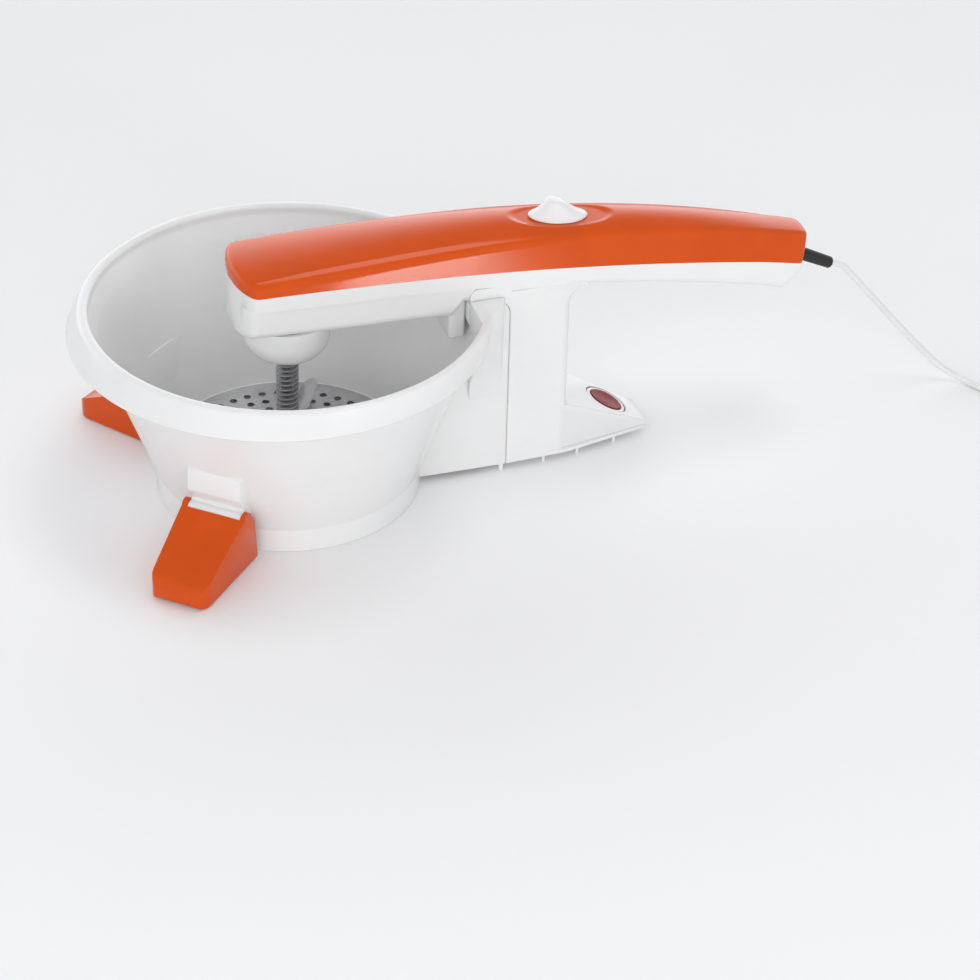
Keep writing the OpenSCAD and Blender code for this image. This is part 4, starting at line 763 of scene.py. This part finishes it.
column_heights = [WALL_Z, 40, 70] + span(flare_top - FLARE_R, flare_top, 0.8) + [flare_top, 116]
column = lofted("column", [column_ring(z) for z in column_heights])
HEEL_ANGLE = atan((HEEL_Z0 - HEEL_Z1) / (HEEL_X1 - HEEL_X0))
heel_side = [(148, WALL_Z), (HEEL_X1, WALL_Z), (HEEL_X1, HEEL_Z1 + 0.3), (HEEL_X0, HEEL_Z0 + 0.3),
             (148, HEEL_Z0 + 0.3)]
heel = slab("heel", heel_side, -HEEL_HW, HEEL_HW)
for vertex in heel.data.vertices:
    share = max(0, vertex.co.x / MM - HEEL_X0) / (HEEL_X1 - HEEL_X0)
    vertex.co.y *= 1 - share * (1 - HEEL_TIP_HW / HEEL_HW)
soften(heel, 1.3, 3, 20)
button_place = (BUTTON_X, 0, HEEL_Z0 - (BUTTON_X - HEEL_X0) * tan(HEEL_ANGLE))
button_frame = Matrix.Translation(button_place) @ Matrix.Rotation(HEEL_ANGLE, 4, "Y")
cut(case, column, "UNION")
cut(case, heel, "UNION")
cut(case, turn(turned("ring_recess", [(0, -1.4), (13, -1.4), (13, 6), (0, 6)], 64), button_frame))
cut(case, turn(turned("button_hole", [(0, -9), (10.3, -9), (10.3, 4), (0, 4)], 64), button_frame))
SEAM_R, SEAM_X, SEAM_Z = 8.15, 111.7, 102.85  # the bracket's rounded back edge, with a hair of room
corner = [(120.3, 102), (120.3, 120.3), (99.5, 120.3), (96.6, 117), (96.6, 111.4)]
corner += [(SEAM_X + SEAM_R * cos(radians(a)), SEAM_Z + SEAM_R * sin(radians(a))) for a in range(90, -1, -9)]
cut(case, slab("seam_corner", corner, -26, 26), "UNION")
cut(case, box("seam_back", (119.9, -25.2, 6), (120.5, 25.2, 104)), "UNION")
hook = box("hook", (86, -21, 88), (95.7, 21, 113), 2.2)
rail_head = box("rail_head", (112.4, -10, 26), (116.3, 10, 104), 0.4)
rail_neck = box("rail_neck", (112.6, -5, 26), (121, 5, 104), 0.4)
soften(case, 0.35, 2, 48)
case = smooth(join(case, hook, rail_head, rail_neck), 40)
dress(case, white_plastic, "motor_unit", "motor_housing")

# %% [markdown]
# ## Release button
# In the photograph the button is a dark red disc with a pale ring round it, and a thin red line outside
# that. The pale ring is the light caught on the button's glossy rim, painted here as a white ring of its
# own:
# a painted highlight. A thin red gasket lies round it.

# %% Release button and its ring
DISC_R, RING_R0, RING_R1, GASKET_R = 9.8, 10.2, 12.3, 12.95
disc = [(0, -0.2), (7.5, 0.1), (9, 0.6), (9.6, 0.5), (DISC_R, 0), (DISC_R, -6), (0, -6)]
button = turn(turned("release_disc", disc, 96), button_frame)
dress(smooth(button, 30), red_plastic, "button", "release_button")
# The pale ring is white plastic that paints the highlight of the button's glossy red rim.
rim_highlight_section = filleted([(RING_R0, -1.4, 0), (RING_R1, -1.4, 0), (RING_R1, -0.1, 0.5),
                           (RING_R0, 0.1, 0.5)])
rim_highlight = turn(turned("button_rim_highlight", rim_highlight_section, 96), button_frame)
dress(smooth(rim_highlight, 30), white_plastic, "motor_unit")
gasket_section = filleted([(RING_R1, -1.5, 0), (GASKET_R, -1.5, 0), (GASKET_R, -0.5, 0.2),
                           (RING_R1, -0.5, 0.2)])
gasket = turn(turned("button_gasket", gasket_section, 96), button_frame)
dress(smooth(gasket, 30), red_plastic, "motor_unit")

# %% [markdown]
# ## Switch knob
# The thumb pushes a white knob along the dish. Seen from the side it rises in two hollow curves to a round
# ridge, and from above it is an oval. So it is a stack of ovals that follow the two curves upwards and lean
# towards the nose.

# %% Switch knob
KNOB_HW, KNOB_H = 9.6, 10.3
KNOB_SHIFT, KNOB_LEAN = 1.7, 3.2
KNOB_RISE = [(16.4, 0), (16.9, 0.3), (17.1, 0.8), (16.8, 1.3), (15.4, 1.8), (13.7, 2.5), (12, 3.4),
             (10.3, 4.5), (8.8, 5.7), (7.5, 6.9), (6.4, 8), (5.3, 9), (4.1, 9.7), (2.7, 10.1), (1.2, 10.3)]


def knob_oval(reach, z):
    middle = -KNOB_SHIFT - KNOB_LEAN * (z / KNOB_H) ** 1.3
    half_width = KNOB_HW * (1 - 0.5 * z / KNOB_H) * min(1, (reach + 1) / 4) ** 0.5
    return [(reach * cos(radians(a)) + middle, half_width * sin(radians(a)), z) for a in range(0, 360, 4)]


knob = lofted("switch_slider", [knob_oval(reach, z) for reach, z in KNOB_RISE])
knob = join(knob, box("stem", (-4, -3, -9), (4, 3, 1.2), 0.3))
switch_place = (SWITCH_X, 0, back_z(SWITCH_X) - DISH_DEPTH + 0.3)
switch_frame = Matrix.Translation(switch_place) @ Matrix.Rotation(SWITCH_TILT, 4, "Y")
dress(smooth(turn(knob, switch_frame), 40), white_plastic, "knob", "switch_knob")

# %% [markdown]
# ## Dome, spring and paddle
# The shaft comes out of a shallow dome under the nose. A spring of round wire presses the paddle on to the
# sieve; the real one shortens as the paddle rides up over something hard, but here it is drawn at one
# length.

# %% Dome
DOME_R, DOME_WALL = 24, 2.4
DOME_LOW, DOME_ARC_H, DOME_TOP = 82, 14.5, 106


def dome_arc(radius, low):
    """From the shaft's collar out and up to the dome's flank, as (radius, height)"""
    arc = [(radians(a), radius) for a in range(0, 91, 5)]
    return [(r * (0.42 + 0.58 * cos(a)), low + DOME_ARC_H * (1 - sin(a))) for a, r in arc]


inner_r = DOME_R - DOME_WALL
dome_section = [(5.6, DOME_LOW + 0.4), (5.6, DOME_TOP), (9, DOME_TOP), (9, DOME_LOW + 2.6)]
dome_section += dome_arc(inner_r, DOME_LOW + DOME_WALL)[::-1] + [(inner_r, DOME_TOP), (DOME_R, DOME_TOP)]
dome_section += dome_arc(DOME_R, DOME_LOW) + [(6, DOME_LOW)]
dome = turned("spindle_cover", dome_section, 128)
dress(smooth(dome, 30), white_plastic, "motor_unit", "spindle_dome")

# %% Spring
SPRING_LOW, SPRING_HIGH, SPRING_TURNS = 43.25, 79.9, 12
SPRING_R, WIRE_R = 5.7, 0.8
TURN_POINTS = 28


def drawn_wire(name, points, radius, resolution):
    """A round wire drawn through points, all in millimetres"""
    curve = bpy.data.curves.new(name, "CURVE")
    curve.dimensions = "3D"
    curve.bevel_depth = radius * MM
    curve.bevel_resolution = resolution
    curve.use_fill_caps = True
    line = curve.splines.new("POLY")
    line.points.add(len(points) - 1)
    for point, at in zip(line.points, points):
        point.co = (*(Vector(at) * MM), 1)
    wire = bpy.data.objects.new(name, curve)
    bpy.context.scene.collection.objects.link(wire)
    return wire


def spring_point(turns):
    a = 2 * pi * turns
    z = SPRING_LOW + (SPRING_HIGH - SPRING_LOW) * turns / SPRING_TURNS
    return SPRING_R * cos(a), SPRING_R * sin(a), z


spring_way = [spring_point(i / TURN_POINTS) for i in range(SPRING_TURNS * TURN_POINTS + 1)]
spring = drawn_wire("spring_wire", spring_way, WIRE_R, 3)
only(spring)
bpy.ops.object.convert(target="MESH")
spring = bpy.context.object
dress(smooth(spring, 60), spring_steel, "output", "pressure_spring")
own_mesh(spring)

# %% Hub, blades, cover and plug
COPIED = [("paddle_hub", "hub_moulding", white_plastic), ("paddle_blades", "blade_sheets", steel),
          ("base_cover", "sole_plate", white_plastic), ("plug_body", "plug_moulding", plug_white)]
for node, name, material in COPIED:
    dress(welded_copy(node, name, 0.3), material, body_of_node[node], node, slot=frame_slots[node])

# %% Strain relief
RELIEF = (296.6, 0, 101.1)
RELIEF_TILT = radians(26)
RELIEF_L = 27.5
RELIEF_BORE_R = 1.9
relief_section = filleted([(0, -4.5, 0), (3.7, -4.5, 0), (3.75, 9, 0), (3.4, RELIEF_L - 0.3, 1.2),
                           (RELIEF_BORE_R, RELIEF_L, 0.3), (RELIEF_BORE_R, 12, 0), (0, 12, 0)])
relief_frame = Matrix.Translation(RELIEF) @ Matrix.Rotation(radians(90) + RELIEF_TILT, 4, "Y")
relief = turn(turned("relief_sleeve", relief_section, 64), relief_frame)
dress(smooth(relief, 35), black_rubber, "motor_unit", "strain_relief")

# %% [markdown]
# ## The mains cord
# The lead leaves the arm's tail through a rubber relief, hangs down to the table and runs out of the
# picture. The rest of it lies there, wound into a flat coil of two layers, and ends in its plug. Its points
# are those of the CAD route, drawn as one smooth curve with a round section.

# %% Cord
def smooth_way(points, steps):
    """A smooth curve through chosen points"""
    way = []
    for i in range(len(points) - 1):
        p0, p1, p2, p3 = (Vector(points[min(max(i + k, 0), len(points) - 1)]) for k in (-1, 0, 1, 2))
        for k in range(steps):
            t = k / steps
            way.append(0.5 * (2 * p1 + (p2 - p0) * t + (2 * p0 - 5 * p1 + 4 * p2 - p3) * t * t
                              + (3 * p1 - p0 - 3 * p2 + p3) * t ** 3))
    return way


CORD_D = 3.8
CORD_Z = 1.95
relief_end = Vector(RELIEF) + RELIEF_L * Vector((cos(RELIEF_TILT), 0, -sin(RELIEF_TILT)))
COIL_MID = (450, -52)
COIL_TURNS = 3.5
COIL_STEP = 4.35
COIL_OUT_R = 30.825
coil_start = Vector((COIL_MID[0] - COIL_OUT_R, COIL_MID[1] + CORD_D, CORD_Z))
coil_stop = Vector((COIL_MID[0] + COIL_OUT_R, COIL_MID[1] + CORD_D, CORD_Z + COIL_STEP))


def coil_point(u):
    """The coil after u turns: inwards on the table, up by one layer in half a turn, and outwards again"""
    climb = min(max(u - COIL_TURNS, 0), 0.5)
    r = COIL_OUT_R - min(u, COIL_TURNS) * COIL_STEP + max(u - COIL_TURNS - 0.5, 0) * COIL_STEP
    a = pi + 2 * pi * u
    return Vector((COIL_MID[0] + r * cos(a), COIL_MID[1] + r * sin(a), CORD_Z + COIL_STEP * climb * 2))


run_points = [relief_end, relief_end + Vector((8, 0, -3.2)), (338, 0, 76), (354, 0, 57), (370, 0, 38),
              (386, -1, 20), (397, -4, 9), (407, -11, CORD_Z + 1.5), (415, -22, CORD_Z), (419, -34, CORD_Z),
              coil_start + Vector((0, CORD_D, 0)), coil_start]
end_points = [coil_stop, coil_stop + Vector((0, CORD_D, 0)), (480, -34, 6.6), (477.5, -20, 7.1),
              (476, -9, 6.6), (476, -4, 6.6)]
COIL_SHARES = 36
coil_way = [coil_point(i / COIL_SHARES) for i in range(int((2 * COIL_TURNS + 0.5) * COIL_SHARES) + 1)]
cord_way = smooth_way(run_points, 6) + [coil_start] + coil_way
cord_way += smooth_way(end_points, 6) + [Vector(end_points[-1])]
cord_length = sum((b - a).length for a, b in zip(cord_way, cord_way[1:]))

mains_cord = drawn_wire("mains_cord", cord_way, CORD_D / 2, 4)
mains_cord.data.materials.append(cord_white)
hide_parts("cord_run", "cord_coil", "cord_end")
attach(mains_cord, body_of_node["cord_run"])
print("cord length", round(cord_length), "mm")

# %% [markdown]
# ## Floor and light
# The photograph was taken on a white table. The orange shell mirrors a bright wall behind and a darker
# ceiling on its top, and a lamp as a streak on its flank. So the world is bright low behind the press and
# darker overhead. A large lamp in front gives light but no reflection, and a small low one makes the streak.
# The floor is pale and catches the contact shadows.

# %% Stage
bpy.ops.object.select_all(action="DESELECT")
bpy.ops.mesh.primitive_plane_add(size=12)
floor = bpy.context.object
floor.name = "floor"
floor_finish = Finish("floor", (0.86, 0.86, 0.865), 0.6)
floor_finish.shade(floor_finish.noise(4, 2).between(0.4, 0.7), 0.99)
seen = floor_finish.node("ShaderNodeLightPath", out="Is Camera Ray")
floor_finish.set("Emission Color", (1, 1, 1, 1))
floor_finish.set("Emission Strength", seen * 0.07)
floor.data.materials.append(floor_finish.material)


def lamp(name, place, aim, size, watts):
    light = bpy.data.lights.new(name, "AREA")
    light.shape, light.size, light.size_y, light.energy = "RECTANGLE", size[0], size[1], watts
    lamp_object = bpy.data.objects.new(name, light)
    lamp_object.location = place
    lamp_object.rotation_euler = (Vector(aim) - Vector(place)).to_track_quat("-Z", "Y").to_euler()
    bpy.context.scene.collection.objects.link(lamp_object)
    return lamp_object


lamp("lamp_front", (-0.9, -1.75, 1.0), (0.05, 0, 0.05), (2.2, 1.2), 15).visible_glossy = False
lamp("lamp_low", (0.62, -1.95, 0.32), (0.1, 0, 0.1), (0.5, 0.25), 4.8)
lamp("lamp_above", (0.5, 0.1, 2.0), (0.05, 0, 0), (1.2, 0.6), 7)
world = bpy.data.worlds.new("studio")
world.use_nodes = True
bpy.context.scene.world = world
world_tree = world.node_tree
light_path = world_tree.nodes.new("ShaderNodeLightPath")
room = world_tree.nodes["Background"]
room.inputs["Color"].default_value = (0.97, 0.98, 1.0, 1)
direction = world_tree.nodes.new("ShaderNodeSeparateXYZ")
world_tree.links.new(world_tree.nodes.new("ShaderNodeTexCoord").outputs["Generated"], direction.inputs[0])


def eased(source, low, high, at_low, at_high):
    node = world_tree.nodes.new("ShaderNodeMapRange")
    node.interpolation_type = "SMOOTHSTEP"
    world_tree.links.new(source, node.inputs[0])
    for socket, value in zip(node.inputs[1:5], (low, high, at_low, at_high)):
        socket.default_value = value
    return node.outputs[0]


def joined(operation, a, b):
    node = world_tree.nodes.new("ShaderNodeMath")
    node.operation = operation
    world_tree.links.new(a, node.inputs[0])
    world_tree.links.new(b, node.inputs[1])
    return node.outputs[0]


ceiling = eased(direction.outputs["Z"], 0.5, 0.85, 0.68, 0.42)
behind = eased(direction.outputs["Y"], 0.3, 0.8, 0, 1)
low_down = eased(direction.outputs["Z"], 0.25, 0.75, 1.5, 0)
wall = joined("MULTIPLY", behind, low_down)
world_tree.links.new(joined("ADD", ceiling, wall), room.inputs["Strength"])
white_back = world_tree.nodes.new("ShaderNodeBackground")
white_back.inputs["Color"].default_value = (1, 1, 1, 1)
either = world_tree.nodes.new("ShaderNodeMixShader")
world_tree.links.new(light_path.outputs["Is Camera Ray"], either.inputs[0])
world_tree.links.new(room.outputs[0], either.inputs[1])
world_tree.links.new(white_back.outputs[0], either.inputs[2])
world_tree.links.new(either.outputs[0], world_tree.nodes["World Output"].inputs[0])
bpy.context.scene.view_settings.view_transform = "Standard"
print("stage set")
